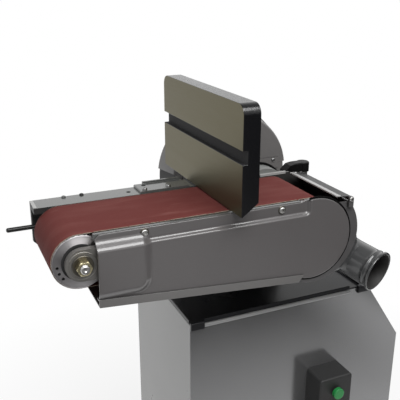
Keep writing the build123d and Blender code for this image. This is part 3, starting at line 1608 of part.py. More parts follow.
# Switch box: a shallow case on the front panel, with its push buttons and cord gland
switch_front = base_front - switch_depth
switch_middle = switch_bottom + switch_height / 2
start_z = switch_middle + button_spacing / 2
stop_z = switch_middle - button_spacing / 2
with BuildPart() as switch_box:
    with BuildSketch(stand_side(base_front)):
        with Locations((switch_x, switch_middle)):
            RectangleRounded(switch_width, switch_height, switch_corner)
    extrude(amount=switch_depth)
    fillet(switch_box.edges().group_by(Axis.Y)[0], switch_round)
    with BuildSketch(stand_side(base_front)):
        with Locations((switch_x, switch_middle)):
            RectangleRounded(
                switch_width - 2 * switch_wall, switch_height - 2 * switch_wall, switch_corner - switch_wall,
            )
    extrude(amount=switch_depth - switch_wall, mode=Mode.SUBTRACT)
    with BuildSketch(stand_side(switch_front + switch_wall)):
        with Locations((switch_x, start_z), (switch_x, stop_z)):
            Circle(button_stem_radius + running_fit)
    extrude(amount=switch_wall, mode=Mode.SUBTRACT)
switch_box.part.label = "switch_box"
export_step(switch_box.part, "parts/switch_box.step")


def push_button(z, radius):
    """Round button with a stem through the box's face."""
    with BuildPart() as button:
        with BuildSketch(stand_side(switch_front - button_travel - running_gap)):
            with Locations((switch_x, z)):
                Circle(radius)
        extrude(amount=button_height)
        fillet(button.edges().group_by(Axis.Y)[0], button_round)
        with BuildSketch(stand_side(switch_front + switch_wall + button_stem_end)):
            with Locations((switch_x, z)):
                Circle(button_stem_radius)
        extrude(amount=switch_wall + button_stem_end + button_travel + running_gap)
    return button


start_button = push_button(start_z, start_radius)
start_button.part.label = "start_button"
export_step(start_button.part, "parts/start_button.step")
stop_button = push_button(stop_z, stop_radius)
stop_button.part.label = "stop_button"
export_step(stop_button.part, "parts/stop_button.step")

with BuildPart() as cord_gland:
    with BuildSketch(Plane.XY.offset(switch_bottom)):
        with Locations((switch_x, base_front - switch_depth / 2)):
            RegularPolygon(gland_radius, 6, major_radius=False)
    extrude(amount=-gland_length / 2)
    with BuildSketch(Plane.XY.offset(switch_bottom - gland_length / 2)):
        with Locations((switch_x, base_front - switch_depth / 2)):
            Circle(gland_radius - gland_step)
    extrude(amount=-gland_length / 2, taper=gland_taper)
    with BuildSketch(Plane.XY.offset(switch_bottom)):
        with Locations((switch_x, base_front - switch_depth / 2)):
            Circle(gland_bore)
    extrude(amount=-gland_length, mode=Mode.SUBTRACT)
cord_gland.part.label = "cord_gland"
export_step(cord_gland.part, "parts/cord_gland.step")

# Motor on a shelf inside the stand
motor_front = belt_y + pulley_y - pulley_width / 2 - motor_gap_to_pulley
with BuildPart() as motor_shelf:
    with BuildSketch(Plane.XY.offset(shelf_height)):
        with Locations((spindle_x, 0)):
            Rectangle(shelf_length, base_depth - 2 * sheet)
    extrude(amount=-shelf_thickness)
    with BuildSketch(Plane.XY.offset(shelf_height - shelf_thickness)):
        for side in (-1, 1):
            with Locations((spindle_x, side * (base_depth / 2 - sheet - shelf_thickness / 2))):
                Rectangle(shelf_length, shelf_thickness)
    extrude(amount=-shelf_flange)
motor_shelf.part.label = "motor_shelf"
export_step(motor_shelf.part, "parts/motor_shelf.step")

with BuildPart() as motor:
    with BuildSketch(stand_side(motor_front)):
        with Locations((spindle_x, motor_z)):
            Circle(motor_radius)
            with PolarLocations(motor_radius + motor_fin_height / 2 - motor_fin_root, motor_fin_count):
                Rectangle(motor_fin_height + 2 * motor_fin_root, motor_fin_thickness)
    extrude(amount=motor_length)
    with BuildSketch(Plane.XY.offset(shelf_height)):
        with Locations((spindle_x, motor_front - motor_length / 2)):
            Rectangle(motor_foot_width, motor_foot_length)
    extrude(amount=motor_foot_thickness)
    with BuildSketch(Plane.XY.offset(shelf_height)):
        with Locations((spindle_x, motor_front - motor_length / 2)):
            Rectangle(motor_neck_width, motor_neck_length)
    extrude(amount=motor_shaft_height - motor_radius + motor_neck_over)
    with BuildSketch(stand_side(motor_front)):
        with Locations((spindle_x, motor_z)):
            Circle(motor_shaft_radius + running_fit)
    extrude(amount=motor_bore_depth, mode=Mode.SUBTRACT)
motor.part.label = "motor"
export_step(motor.part, "parts/motor.step")

with BuildPart() as motor_shaft:
    with BuildSketch(stand_side(belt_y + pulley_y + pulley_width / 2 + motor_shaft_over)):
        with Locations((spindle_x, motor_z)):
            Circle(motor_shaft_radius)
    extrude(amount=pulley_width + motor_gap_to_pulley + motor_shaft_over + motor_shaft_depth)
motor_shaft.part.label = "motor_shaft"
export_step(motor_shaft.part, "parts/motor_shaft.step")

# Drive belt round the two pulleys, just clear of the groove floors
spindle_run = spindle_pulley_diameter / 2 - groove_depth + drive_belt_gap
motor_run = motor_pulley_diameter / 2 - groove_depth + drive_belt_gap
run_plane = stand_side(belt_y + pulley_y + drive_belt_width / 2)
with BuildSketch(run_plane) as outer_run:
    with Locations((spindle_x, axis_z)):
        Circle(spindle_run + drive_belt_height)
    with Locations((spindle_x, motor_z)):
        Circle(motor_run + drive_belt_height)
    make_hull()
with BuildSketch(run_plane) as inner_run:
    with Locations((spindle_x, axis_z)):
        Circle(spindle_run)
    with Locations((spindle_x, motor_z)):
        Circle(motor_run)
    make_hull()
with BuildPart() as drive_belt:
    extrude(outer_run.sketch, amount=drive_belt_width)
    extrude(inner_run.sketch, amount=drive_belt_width, mode=Mode.SUBTRACT)
drive_belt.part.label = "drive_belt"
export_step(drive_belt.part, "parts/drive_belt.step")
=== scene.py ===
import json
import math
import random

import bmesh
import bpy
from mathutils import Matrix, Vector


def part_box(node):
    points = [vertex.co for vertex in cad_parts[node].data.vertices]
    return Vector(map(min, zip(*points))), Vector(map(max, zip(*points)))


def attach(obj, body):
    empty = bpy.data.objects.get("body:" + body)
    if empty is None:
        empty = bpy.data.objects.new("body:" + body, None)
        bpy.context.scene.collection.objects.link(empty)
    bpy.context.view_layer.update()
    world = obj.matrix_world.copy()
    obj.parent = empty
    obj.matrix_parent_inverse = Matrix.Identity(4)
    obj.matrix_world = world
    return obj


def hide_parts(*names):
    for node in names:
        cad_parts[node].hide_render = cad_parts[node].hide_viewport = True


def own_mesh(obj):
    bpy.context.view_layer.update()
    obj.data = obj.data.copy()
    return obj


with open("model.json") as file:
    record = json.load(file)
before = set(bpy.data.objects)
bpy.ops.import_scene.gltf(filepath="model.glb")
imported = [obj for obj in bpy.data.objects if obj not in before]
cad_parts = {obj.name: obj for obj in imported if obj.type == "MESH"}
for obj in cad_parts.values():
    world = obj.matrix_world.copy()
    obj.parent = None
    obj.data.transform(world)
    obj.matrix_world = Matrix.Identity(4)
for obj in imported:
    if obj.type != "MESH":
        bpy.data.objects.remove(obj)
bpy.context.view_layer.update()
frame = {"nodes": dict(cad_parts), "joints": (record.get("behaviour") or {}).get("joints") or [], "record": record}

# Belt and disc sander on a floor stand. Lengths are millimetres in the arm's own directions unless a name
# says otherwise: x along the arm from the idler axis, y from the belt's middle towards the disc, z up from
# the belt's top.
MM = 0.001
# Way to the front, and the two directions in the plane of the drums' ends
FRONTWARD = Vector((0, -1, 0))
FLAT = FRONTWARD.orthogonal().normalized()
UPRIGHT = FRONTWARD.cross(FLAT)
record = frame["record"]
joints = {joint["name"]: joint for joint in frame["joints"]}
body_of = {node: body for body, group in record["behaviour"]["bodies"].items() for node in group}
belt_low, belt_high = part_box("sanding_belt")
idler_axis = Vector(joints["idler_spin"]["pos_m"])
drive_axis = Vector(joints["arm_tilt"]["pos_m"])


def arm(x, y, z):
    """Point of the shared frame, in metres, from the arm's millimetres."""
    return Vector((idler_axis.x + x * MM, idler_axis.y + y * MM, belt_high.z + z * MM))


def arm_limits(node):
    """Lowest and highest corner of a node in the arm's millimetres."""
    origin = arm(0, 0, 0)
    return tuple((corner - origin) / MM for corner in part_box(node))


# Places and sizes of the pieces
DRIVE_X = (drive_axis.x - idler_axis.x) / MM
AXIS_Z = (idler_axis.z - belt_high.z) / MM
BELT_RADIUS, BELT_THICKNESS = -AXIS_Z, 1.2
DRUM_HALF = arm_limits("idler_drum")[1].y
YOKE_INNER, YOKE_OUTER, AXLE_END = 82.0, 94.0, 114.0
AXLE_RADIUS, THREAD_RADIUS, THREAD_PITCH = 10.0, 8.0, 1.75
RAIL_TOP, RAIL_INNER_Y, REAR_WALL_Y = -1.0, 82.0, 128.0
RAIL_END = arm_limits("arm_frame")[0].x
BOSS_START = 430.0
PAN_MIDDLE = Vector((230.0, 10.0, -60.0))
cover_low, cover_high = arm_limits("side_cover")
END_RADIUS = 83.6
END_X, END_Z = cover_high.x - END_RADIUS, cover_high.z - END_RADIUS
COVER_TOP, COVER_FACE_Y, COVER_ROUND, COVER_CORNER = -2.0, -96.0, 1.8, 8.0
BULGE_RIGHT, BULGE_LOW = 120.0, -119.0
LEDGE_Y, LEDGE_LEFT, LEDGE_RIGHT, LEDGE_LOW = -88.5, 103.0, 447.0, -28.5
COVER_BOTTOM, COVER_SLOPE = -121.5, 0.0824
HOOD_X, HOOD_Z, HOOD_RADIUS, HOOD_WALL, HOOD_FRONT = 465.2, -77.7, 97.0, 3.0, -92.4
CHEEK_START, CHEEK_END = 440.0, 504.0
PORT_MOUTH = Vector((600.0, -125.0, -166.0))
PORT_WAY = Vector((0.344, -0.92, -0.187)).normalized()
PORT_STUB = Vector((0.8, 0.0, -0.6))
PORT_STRAIGHT, PORT_BEND, PORT_TUBE, PORT_BORE = 95.0, 48.0, 40.0, 37.0
FLARE, FLARE_FADE = 24.0, 46.0
SLOT_MIDDLE, SLOT_HALF, SLOT_DEPTH = 112.0, 12.3, 10.5
TRAY_FRONT = arm_limits("stand_top")[0].y
HEM_START, HEM_END = 251.3, 625.3


# Shader node helpers


def put(tree, kind, inputs=None, **settings):
    """One shader node with its settings, its inputs each a value or another node's output."""
    node = tree.nodes.new(kind)
    for key, value in settings.items():
        setattr(node, key, value)
    for key, value in (inputs or {}).items():
        if isinstance(value, bpy.types.NodeSocket):
            tree.links.new(value, node.inputs[key])
        else:
            node.inputs[key].default_value = value
    return node


def maths(tree, operation, *values):
    """Output of one math node."""
    return put(tree, "ShaderNodeMath", dict(enumerate(values)), operation=operation).outputs[0]


def vector_maths(tree, operation, *values):
    """Output of one vector math node, a number where the operation gives one."""
    node = put(tree, "ShaderNodeVectorMath", dict(enumerate(values)), operation=operation)
    return node.outputs["Value" if operation in ("DOT_PRODUCT", "LENGTH") else "Vector"]


def ramp(tree, value, start, end, low=0.0, high=1.0):
    """Straight change from low at start to high at end, level beyond both."""
    limits = {"Value": value, "From Min": start, "From Max": end, "To Min": low, "To Max": high}
    return put(tree, "ShaderNodeMapRange", limits).outputs[0]


def mix_values(tree, factor, first, second):
    """Number between two numbers."""
    return put(tree, "ShaderNodeMix", {0: factor, 2: first, 3: second}, data_type="FLOAT").outputs[0]


def blend_colours(tree, factor, first, second, blend_type="MIX"):
    """Colour between two colours."""
    inputs = {0: factor, 6: first, 7: second}
    return put(tree, "ShaderNodeMix", inputs, data_type="RGBA", blend_type=blend_type).outputs[2]


def toned(tree, colour, level, share=1.0, blend_type="MULTIPLY"):
    """Colour changed by a grey level."""
    grey = put(tree, "ShaderNodeCombineColor", {0: level, 1: level, 2: level}).outputs[0]
    return blend_colours(tree, share, colour, grey, blend_type)


def swing(tree, noise, amount, middle=1.0):
    """Level that a noise value moves to both sides of a middle."""
    return maths(tree, "MULTIPLY_ADD", maths(tree, "SUBTRACT", noise, 0.5), amount, middle)


def split_xyz(tree, vector):
    """The three parts of a vector."""
    return put(tree, "ShaderNodeSeparateXYZ", {0: vector}).outputs


def own_place(tree):
    """Place in the piece's own coordinates."""
    return put(tree, "ShaderNodeTexCoord").outputs["Object"]


def off_axis(tree, centre):
    """Way to a place on the piece from an axis that runs across the arm."""
    offset = vector_maths(tree, "SUBTRACT", own_place(tree), centre)
    return vector_maths(tree, "MULTIPLY", offset, (1.0, 0.0, 1.0))


def object_noise(tree, scale, detail, stretch=None, distortion=0.0):
    """Noise value over the piece's own coordinates, in cells per metre, stretched along an axis if asked."""
    where = own_place(tree)
    if stretch is not None:
        where = put(tree, "ShaderNodeMapping", {"Vector": where, "Scale": stretch}).outputs[0]
    settings = {"Vector": where, "Scale": scale, "Detail": detail, "Distortion": distortion}
    return put(tree, "ShaderNodeTexNoise", settings).outputs[0]


# Shared effects
FLOAT, COLOUR, VECTOR = "NodeSocketFloat", "NodeSocketColor", "NodeSocketVector"
SURFACE = (("Colour", COLOUR), ("Roughness", FLOAT), ("Height", FLOAT))


def new_group(name, outputs=SURFACE, **inputs):
    """Empty shader group with named sockets, and its input and output nodes."""
    group = bpy.data.node_groups.new(name, "ShaderNodeTree")
    for label, value in inputs.items():
        kind = FLOAT if isinstance(value, float) else COLOUR if len(value) == 4 else VECTOR
        socket = group.interface.new_socket(label.replace("_", " "), in_out="INPUT", socket_type=kind)
        socket.default_value = value
    for label, kind in outputs:
        group.interface.new_socket(label, in_out="OUTPUT", socket_type=kind)
    return group, put(group, "NodeGroupInput").outputs, put(group, "NodeGroupOutput").inputs


def hand_out(group, made, **results):
    """Link a group's results to its outputs."""
    for label, result in results.items():
        group.links.new(result, made[label])
    return group


def paint_skin_group():
    """Sprayed paint: faint cloudy tone, orange peel and a little change of gloss."""
    group, given, made = new_group("paint_skin", Colour=(0.5, 0.5, 0.5, 1), Tone=0.1, Peel_Scale=400.0,
                                   Roughness=0.4, Gloss_Change=0.1)
    cloud = object_noise(group, 9.0, 4.0)
    peel = object_noise(group, given["Peel Scale"], 3.0)
    level = swing(group, peel, given["Tone"], swing(group, cloud, given["Tone"]))
    gloss = swing(group, cloud, given["Gloss Change"], given["Roughness"])
    return hand_out(group, made, Colour=toned(group, given["Colour"], level), Roughness=gloss, Height=peel)


def edge_wear_and_highlight_group():
    """Mask of the outer edges, broken up as rubbed paint is; the lighter colour laid there is partly wear and
    partly painted highlight.
    """
    group, given, made = new_group("edge_wear_and_highlight", [("Mask", FLOAT)], Radius=0.0015, Amount=1.0)
    soft = put(group, "ShaderNodeBevel", {"Radius": given["Radius"]}, samples=4).outputs[0]
    plain = put(group, "ShaderNodeNewGeometry").outputs["Normal"]
    edge = ramp(group, vector_maths(group, "DOT_PRODUCT", soft, plain), 0.995, 0.86)
    patchy = ramp(group, object_noise(group, 60.0, 5.0), 0.42, 0.62)
    worn = maths(group, "MULTIPLY", edge, patchy)
    return hand_out(group, made, Mask=maths(group, "MULTIPLY", worn, given["Amount"]))


def grit_skin_group():
    """Coated abrasive: close grains, streaks and scuffs along the run and a cloudy loading of dust."""
    group, given, made = new_group("grit_skin", Colour=(0.2, 0.05, 0.05, 1), Dust_Colour=(0.4, 0.2, 0.18, 1),
                                   Grain_Scale=1400.0, Dust=0.3)
    cells = {"Vector": own_place(group), "Scale": given["Grain Scale"]}
    grain = put(group, "ShaderNodeTexVoronoi", cells, feature="F1").outputs["Distance"]
    speck = object_noise(group, given["Grain Scale"], 4.0)
    streak = object_noise(group, 22.0, 6.0, stretch=(0.45, 1.8, 0.45))
    scratch = object_noise(group, 70.0, 3.0, stretch=(0.16, 1.5, 0.16), distortion=0.6)
    dark = toned(group, given["Colour"], speck, 0.32, "OVERLAY")
    loaded = ramp(group, streak, 0.47, 0.78, high=given["Dust"])
    dusty = blend_colours(group, loaded, dark, given["Dust Colour"])
    scuff = ramp(group, scratch, 0.64, 0.74, high=0.3)
    return hand_out(
        group, made,
        Colour=blend_colours(group, scuff, dusty, given["Dust Colour"]),
        Roughness=maths(group, "MULTIPLY_ADD", speck, 0.2, 0.62),
        Height=maths(group, "SUBTRACT", speck, grain),
    )


def machined_skin_group():
    """Cut metal: fine parallel lines, brighter and darker bands and changing gloss."""
    group, given, made = new_group("machined_skin", Colour=(0.5, 0.5, 0.5, 1), Stretch=(1, 1, 1),
                                   Contrast=0.2, Roughness=0.3)
    line = object_noise(group, 900.0, 3.0, given["Stretch"])
    band = object_noise(group, 60.0, 2.0, given["Stretch"])
    mixed = maths(group, "ADD", maths(group, "MULTIPLY", line, 0.6), maths(group, "MULTIPLY", band, 0.4))
    shown = toned(group, given["Colour"], swing(group, mixed, given["Contrast"]))
    gloss = maths(group, "MULTIPLY_ADD", mixed, 0.25, given["Roughness"])
    return hand_out(group, made, Colour=shown, Roughness=gloss, Height=line)


def turned_skin_group():
    """Turned metal: fine rings about an axis that runs across the arm."""
    group, given, made = new_group("turned_skin", Colour=(0.7, 0.7, 0.7, 1), Centre=(0, 0, 0), Roughness=0.2)
    radius = vector_maths(group, "LENGTH", off_axis(group, given["Centre"]))
    cells = {"W": maths(group, "MULTIPLY", radius, 2200.0), "Detail": 2.0}
    rings = put(group, "ShaderNodeTexNoise", cells, noise_dimensions="1D").outputs[0]
    shown = toned(group, given["Colour"], swing(group, rings, 0.22))
    gloss = maths(group, "MULTIPLY_ADD", rings, 0.2, given["Roughness"])
    return hand_out(group, made, Colour=shown, Roughness=gloss, Height=rings)


PAINT = paint_skin_group()
WEAR_AND_HIGHLIGHT = edge_wear_and_highlight_group()
GRIT = grit_skin_group()
MACHINED = machined_skin_group()
TURNED = turned_skin_group()


# Materials


def new_material(name="finish"):
    """Material with its tree and its Principled shader."""
    material = bpy.data.materials.new(name)
    material.use_nodes = True
    return material, material.node_tree, material.node_tree.nodes["Principled BSDF"]


def place_group(tree, group, **values):
    """A shared effect in a material, with its own values."""
    node = put(tree, "ShaderNodeGroup", node_tree=group)
    for key, value in values.items():
        node.inputs[key.replace("_", " ")].default_value = value
    return node.outputs


def bump(tree, shader, height, strength, depth):
    """Normal of a shader from a height, depth in metres."""
    node = put(tree, "ShaderNodeBump", {"Height": height, "Strength": strength, "Distance": depth})
    tree.links.new(node.outputs[0], shader.inputs["Normal"])


def dress(tree, shader, colour, skin, strength, depth, **plain):
    """Colour, gloss and relief of a shader from a shared effect, and its plain values."""
    tree.links.new(colour, shader.inputs["Base Color"])
    tree.links.new(skin["Roughness"], shader.inputs["Roughness"])
    for key, value in plain.items():
        shader.inputs[key.replace("_", " ")].default_value = value
    bump(tree, shader, skin["Height"], strength, depth)


def paint(colour, roughness, tone=0.12, peel_scale=420.0, peel=0.12, wear_and_highlight=None, specular=0.5, coat=0.0,
          metallic=0.0):
    """Sprayed paint or moulded plastic, its edges turned to another, lighter colour, partly rubbed wear and partly
    painted highlight, where such a colour is given.
    """
    material, tree, shader = new_material()
    skin = place_group(tree, PAINT, Colour=(*colour, 1), Tone=tone, Peel_Scale=peel_scale,
                       Roughness=roughness, Gloss_Change=0.12)
    shown = skin["Colour"]
    if wear_and_highlight:
        mask = place_group(tree, WEAR_AND_HIGHLIGHT, Radius=0.0012, Amount=wear_and_highlight[1])["Mask"]
        shown = blend_colours(tree, mask, shown, (*wear_and_highlight[0], 1))
    dress(tree, shader, shown, skin, peel, 0.0004, Specular_IOR_Level=specular, Coat_Weight=coat,
          Metallic=metallic, Coat_Roughness=0.12)
    return material


def metal(colour, roughness, group, turned_about=None, **values):
    """Bare metal with cut lines or turned rings, its gloss drawn out across the rings of a turned face."""
    material, tree, shader = new_material()
    if turned_about:
        values["Centre"] = turned_about
        tree.links.new(off_axis(tree, turned_about), shader.inputs["Tangent"])
        shader.inputs["Anisotropic"].default_value = 0.9
    skin = place_group(tree, group, Colour=(*colour, 1), Roughness=roughness, **values)
    dress(tree, shader, skin["Colour"], skin, 0.08, 0.0001, Metallic=1.0)
    return material


def abrasive(colour, dust_colour, dust, edges=None):
    """Coated grit on cloth, paler where a belt's edges are rubbed bare."""
    material, tree, shader = new_material()
    skin = place_group(tree, GRIT, Colour=(*colour, 1), Dust_Colour=(*dust_colour, 1), Dust=dust)
    shown = skin["Colour"]
    if edges:
        across = split_xyz(tree, own_place(tree))["Y"]
        ragged = maths(tree, "MULTIPLY_ADD", object_noise(tree, 260.0, 4.0), 0.005, -0.0014)
        near = maths(tree, "SUBTRACT", across, edges[0])
        far = maths(tree, "SUBTRACT", edges[1], across)
        bare = maths(tree, "LESS_THAN", maths(tree, "MINIMUM", near, far), ragged)
        shown = blend_colours(tree, bare, shown, (0.3, 0.25, 0.2, 1))
    dress(tree, shader, shown, skin, 0.35, 0.0004, Specular_IOR_Level=0.1)
    return material


def table_iron():
    """Table casting: black gloss paint all round, the working face machined and oiled, its slot dull."""
    material, tree, shader = new_material()
    coat = place_group(tree, PAINT, Colour=(0.005, 0.005, 0.006, 1), Tone=0.3, Peel_Scale=430.0,
                       Roughness=0.16, Gloss_Change=0.1)
    cut = place_group(tree, MACHINED, Colour=(0.128, 0.115, 0.07, 1), Stretch=(1.0, 0.03, 1.0), Contrast=0.3,
                      Roughness=0.3)
    where = put(tree, "ShaderNodeTexCoord").outputs
    place = split_xyz(tree, where["Object"])
    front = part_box("table")[0].x
    facing = ramp(tree, split_xyz(tree, where["Normal"])["X"], -0.9, -0.98)
    outside = ramp(tree, place["X"], front + 1.2 * MM, front + 0.8 * MM)
    face = maths(tree, "MULTIPLY", facing, outside)
    level = maths(tree, "ABSOLUTE", maths(tree, "SUBTRACT", place["Z"], arm(0, 0, SLOT_MIDDLE).z))
    slot = maths(tree, "MULTIPLY", maths(tree, "LESS_THAN", level, SLOT_HALF * MM),
                 maths(tree, "LESS_THAN", place["X"], front + SLOT_DEPTH * MM))
    slot = maths(tree, "MULTIPLY", slot, maths(tree, "SUBTRACT", 1.0, face))
    gloss = mix_values(tree, face, coat["Roughness"], cut["Roughness"])
    tree.links.new(blend_colours(tree, face, coat["Colour"], cut["Colour"]), shader.inputs["Base Color"])
    tree.links.new(mix_values(tree, slot, gloss, 0.75), shader.inputs["Roughness"])
    tree.links.new(face, shader.inputs["Metallic"])
    bump(tree, shader, mix_values(tree, face, coat["Height"], cut["Height"]), 0.5, 0.0006)
    return material


PALE = (0.62, 0.61, 0.6)
# Lighter edge colour: partly rubbed paint, partly painted highlight
RUBBED_AND_HIGHLIGHT = ((0.2, 0.195, 0.19), 0.5)
MOULDED = {"tone": 0.15, "peel_scale": 900.0, "peel": 0.1}
CAST = {"tone": 0.2, "peel_scale": 230.0, "peel": 0.3}
finishes = {
    "cover_paint": paint((0.109, 0.102, 0.102), 0.3, wear_and_highlight=RUBBED_AND_HIGHLIGHT, coat=0.8),
    "hood_paint": paint((0.085, 0.082, 0.083), 0.26, wear_and_highlight=RUBBED_AND_HIGHLIGHT, coat=0.45),
    "spout_paint": paint((0.045, 0.046, 0.047), 0.24, wear_and_highlight=((0.25, 0.25, 0.25), 0.6), coat=0.6),
    "guard_paint": paint((0.16, 0.153, 0.15), 0.3, wear_and_highlight=((0.26, 0.255, 0.25), 0.5), coat=0.6),
    "pan_paint": paint((0.15, 0.145, 0.142), 0.3, wear_and_highlight=((0.42, 0.41, 0.4), 0.6), coat=0.6),
    # Pale paint on the flap's strip and the hood cheek's upper edge: painted highlight
    "strip_painted_highlight": paint((0.38, 0.376, 0.37), 0.3, wear_and_highlight=(PALE, 0.6), coat=0.4),
    "pale_paint": paint((0.46, 0.46, 0.45), 0.35, wear_and_highlight=(PALE, 0.5)),
    "rail_paint": paint((0.092, 0.095, 0.092), 0.16, wear_and_highlight=((0.3, 0.3, 0.3), 0.6), peel=0.05, coat=0.5),
    # Lighter copy of the frame's paint on the pivot boss: painted light
    "boss_painted_light": paint((0.2, 0.206, 0.2), 0.35, wear_and_highlight=(PALE, 0.6)),
    "casting_paint": paint((0.3, 0.305, 0.3), 0.45, **CAST),
    "stand_paint": paint((0.27, 0.27, 0.273), 0.16, wear_and_highlight=((0.5, 0.5, 0.5), 0.4), metallic=0.75),
    # Lighter paint on the front panel's hem bead: painted highlight
    "hem_painted_highlight": paint((0.3, 0.3, 0.3), 0.25, wear_and_highlight=(PALE, 0.5), coat=0.5),
    # Non-metal paint that shows the left side panel lighter than the stand's other panels: painted light
    "left_panel_painted_light": paint((0.25, 0.25, 0.247), 0.3, wear_and_highlight=(PALE, 0.4), coat=0.3),
    "tray_black": paint((0.016, 0.016, 0.018), 0.26, tone=0.2, peel=0.03, specular=0.25),
    "motor_paint": paint((0.08, 0.085, 0.09), 0.45, **CAST),
    # Black steel of the tension lever and a rail screw, also laid on the flap's rolled leaf as painted shade
    "black_steel": paint((0.008, 0.008, 0.008), 0.32, wear_and_highlight=((0.1, 0.1, 0.1), 0.4), specular=0.35),
    # Near-black laid inside the drum's holes, the hood, the pan and the port's bore: painted shade
    "painted_shade_dark": paint((0.025, 0.024, 0.023), 0.6, tone=0.5),
    "black_plastic": paint((0.004, 0.004, 0.004), 0.38, specular=0.16, **MOULDED),
    # Black plastic of the switch box and cord gland, also laid on the rear wall's inside and the shroud's rim as
    # painted shade
    "matte_black_and_painted_shade": paint((0.02, 0.02, 0.02), 0.55, **MOULDED),
    # Black rubber of the drive belt, also laid on the shield in the idler drum's recess as painted shade
    "rubber_black_and_painted_shade": paint((0.018, 0.018, 0.018), 0.75, **MOULDED),
    # Near-black for the ring behind the pivot boss and the strip round the cover's end: painted shade
    "painted_shade_black": paint((0.003, 0.003, 0.003), 0.6, specular=0.08, **MOULDED),
    "green_plastic": paint((0.02, 0.25, 0.06), 0.25, **MOULDED),
    "red_plastic": paint((0.5, 0.02, 0.02), 0.25, **MOULDED),
    "idler_aluminium": metal((0.62, 0.6, 0.61), 0.4, TURNED, turned_about=idler_axis),
    "drive_aluminium": metal((0.72, 0.7, 0.71), 0.4, TURNED, turned_about=drive_axis),
    "bright_steel": metal((0.55, 0.54, 0.53), 0.22, MACHINED, Stretch=(1.0, 0.05, 1.0), Contrast=0.25),
    "plated_steel": metal((0.75, 0.74, 0.72), 0.12, MACHINED, Contrast=0.12),
    "dark_zinc": metal((0.3, 0.3, 0.3), 0.25, MACHINED, Contrast=0.2),
    "yoke_iron": metal((0.3, 0.29, 0.275), 0.42, MACHINED, Contrast=0.3),
    "dark_steel": metal((0.14, 0.13, 0.11), 0.34, TURNED, Centre=idler_axis),
    "yellow_zinc": metal((0.66, 0.59, 0.38), 0.2, TURNED, Centre=idler_axis),
    "belt_grit": abrasive((0.145, 0.038, 0.034), (0.3, 0.13, 0.115), 0.2, (belt_low.y, belt_high.y)),
    "disc_grit": abrasive((0.15, 0.045, 0.04), (0.33, 0.17, 0.15), 0.18),
    "table_iron": table_iron(),
}
for name, finish in finishes.items():
    finish.name = name


# Mesh helpers


def shown_mesh(name, bm, material):
    """Object in the scene from a mesh under construction."""
    mesh = bpy.data.meshes.new(name)
    bm.to_mesh(mesh)
    bm.free()
    mesh.materials.append(material)
    shown = bpy.data.objects.new(name, mesh)
    bpy.context.scene.collection.objects.link(shown)
    return shown


def piece(name, bm, finish, node, instead=False, crease=32):
    """Shown piece that rides on a node's body and can stand in the node's place."""
    bmesh.ops.recalc_face_normals(bm, faces=bm.faces)
    shown = shown_mesh(name, bm, finishes[finish])
    shown.data.shade_smooth()
    shown.data.set_sharp_from_angle(angle=math.radians(crease))
    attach(shown, body_of[node])
    if instead:
        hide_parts(node)
    return shown


def second_finish(shown, finish, test):
    """Another finish on the faces whose middle, in the arm's millimetres, and direction pass a test."""
    shown.data.materials.append(finishes[finish])
    origin = arm(0, 0, 0)
    for face in shown.data.polygons:
        if test((face.center - origin) / MM, face.normal):
            face.material_index = len(shown.data.materials) - 1


def welded_mesh(node):
    """A node's own mesh, its doubled points merged."""
    bm = bmesh.new()
    bm.from_mesh(frame["nodes"][node].data)
    bmesh.ops.remove_doubles(bm, verts=bm.verts, dist=2e-6)
    return bm


def rounded_copy(node, width, finish):
    """A node's own shape with its sharp edges broken by a small round, shown in its place."""
    bm = welded_mesh(node)
    bmesh.ops.dissolve_limit(bm, angle_limit=math.radians(0.4), verts=bm.verts, edges=bm.edges)
    sharp = [edge for edge in bm.edges if edge.is_manifold and edge.calc_face_angle() > math.radians(28)]
    bmesh.ops.bevel(bm, geom=sharp, offset=width * MM, offset_type="OFFSET", segments=2, profile=0.5,
                    affect="EDGES", clamp_overlap=True)
    shown = piece(node + "_body", bm, finish, node, True)
    shown.modifiers.new("even_shading", "WEIGHTED_NORMAL").keep_sharp = True
    return shown


def spread(start, end, count):
    """Even steps from start to end."""
    return [start + (end - start) * i / count for i in range(count + 1)]


def turns(count):
    """Angles of one whole turn."""
    return spread(0.0, 2 * math.pi, count)[:-1]


def ring_spots(hub, side, up, radii, turn=0.0, unit=MM):
    """Points round a hub, each at its own radius."""
    spots = []
    for angle, radius in zip(turns(len(radii)), radii):
        out = side * math.cos(angle + turn) + up * math.sin(angle + turn)
        spots.append(hub + out * radius * unit)
    return spots


def new_row(bm, spots):
    """Vertices at a row of points."""
    return [bm.verts.new(spot) for spot in spots]


def grid_faces(bm, rows, closed=False):
    """Faces between neighbouring rows of vertices, with three corners where a row is a single point."""
    for near, far in zip(rows, rows[1:]):
        for i in range(len(near) if closed else len(near) - 1):
            j = (i + 1) % len(near)
            corners = list(dict.fromkeys([near[i], near[j], far[j], far[i]]))
            if len(corners) > 2:
                bm.faces.new(corners)


def capped(*bodies):
    """Mesh of solid bodies, each through its own loops of points."""
    bm = bmesh.new()
    for rows in bodies:
        loops = [new_row(bm, row) for row in rows]
        grid_faces(bm, loops, closed=True)
        bm.faces.new(loops[0])
        bm.faces.new(loops[-1])
    return bm


def lathe(bm, profile, centre, segments, way=FRONTWARD, first=None):
    """Turn a profile of (distance along the axis, radius) about an axis through a centre."""
    along = Vector(way).normalized()
    side = (along.orthogonal() if first is None else first).normalized()
    up = along.cross(side)
    rows = []
    for distance, radius in profile:
        hub = centre + along * distance * MM
        if radius > 0:
            rows.append(new_row(bm, ring_spots(hub, side, up, [radius] * segments)))
        else:
            rows.append([bm.verts.new(hub)] * segments)
    grid_faces(bm, rows, closed=True)
    return rows


def turned_rings(profile, segments, *centres):
    """Mesh of rings turned from one closed profile about axes that run across the arm."""
    bm = bmesh.new()
    for centre in centres:
        rows = lathe(bm, profile, centre, segments)
        grid_faces(bm, [rows[-1], rows[0]], closed=True)
    return bm


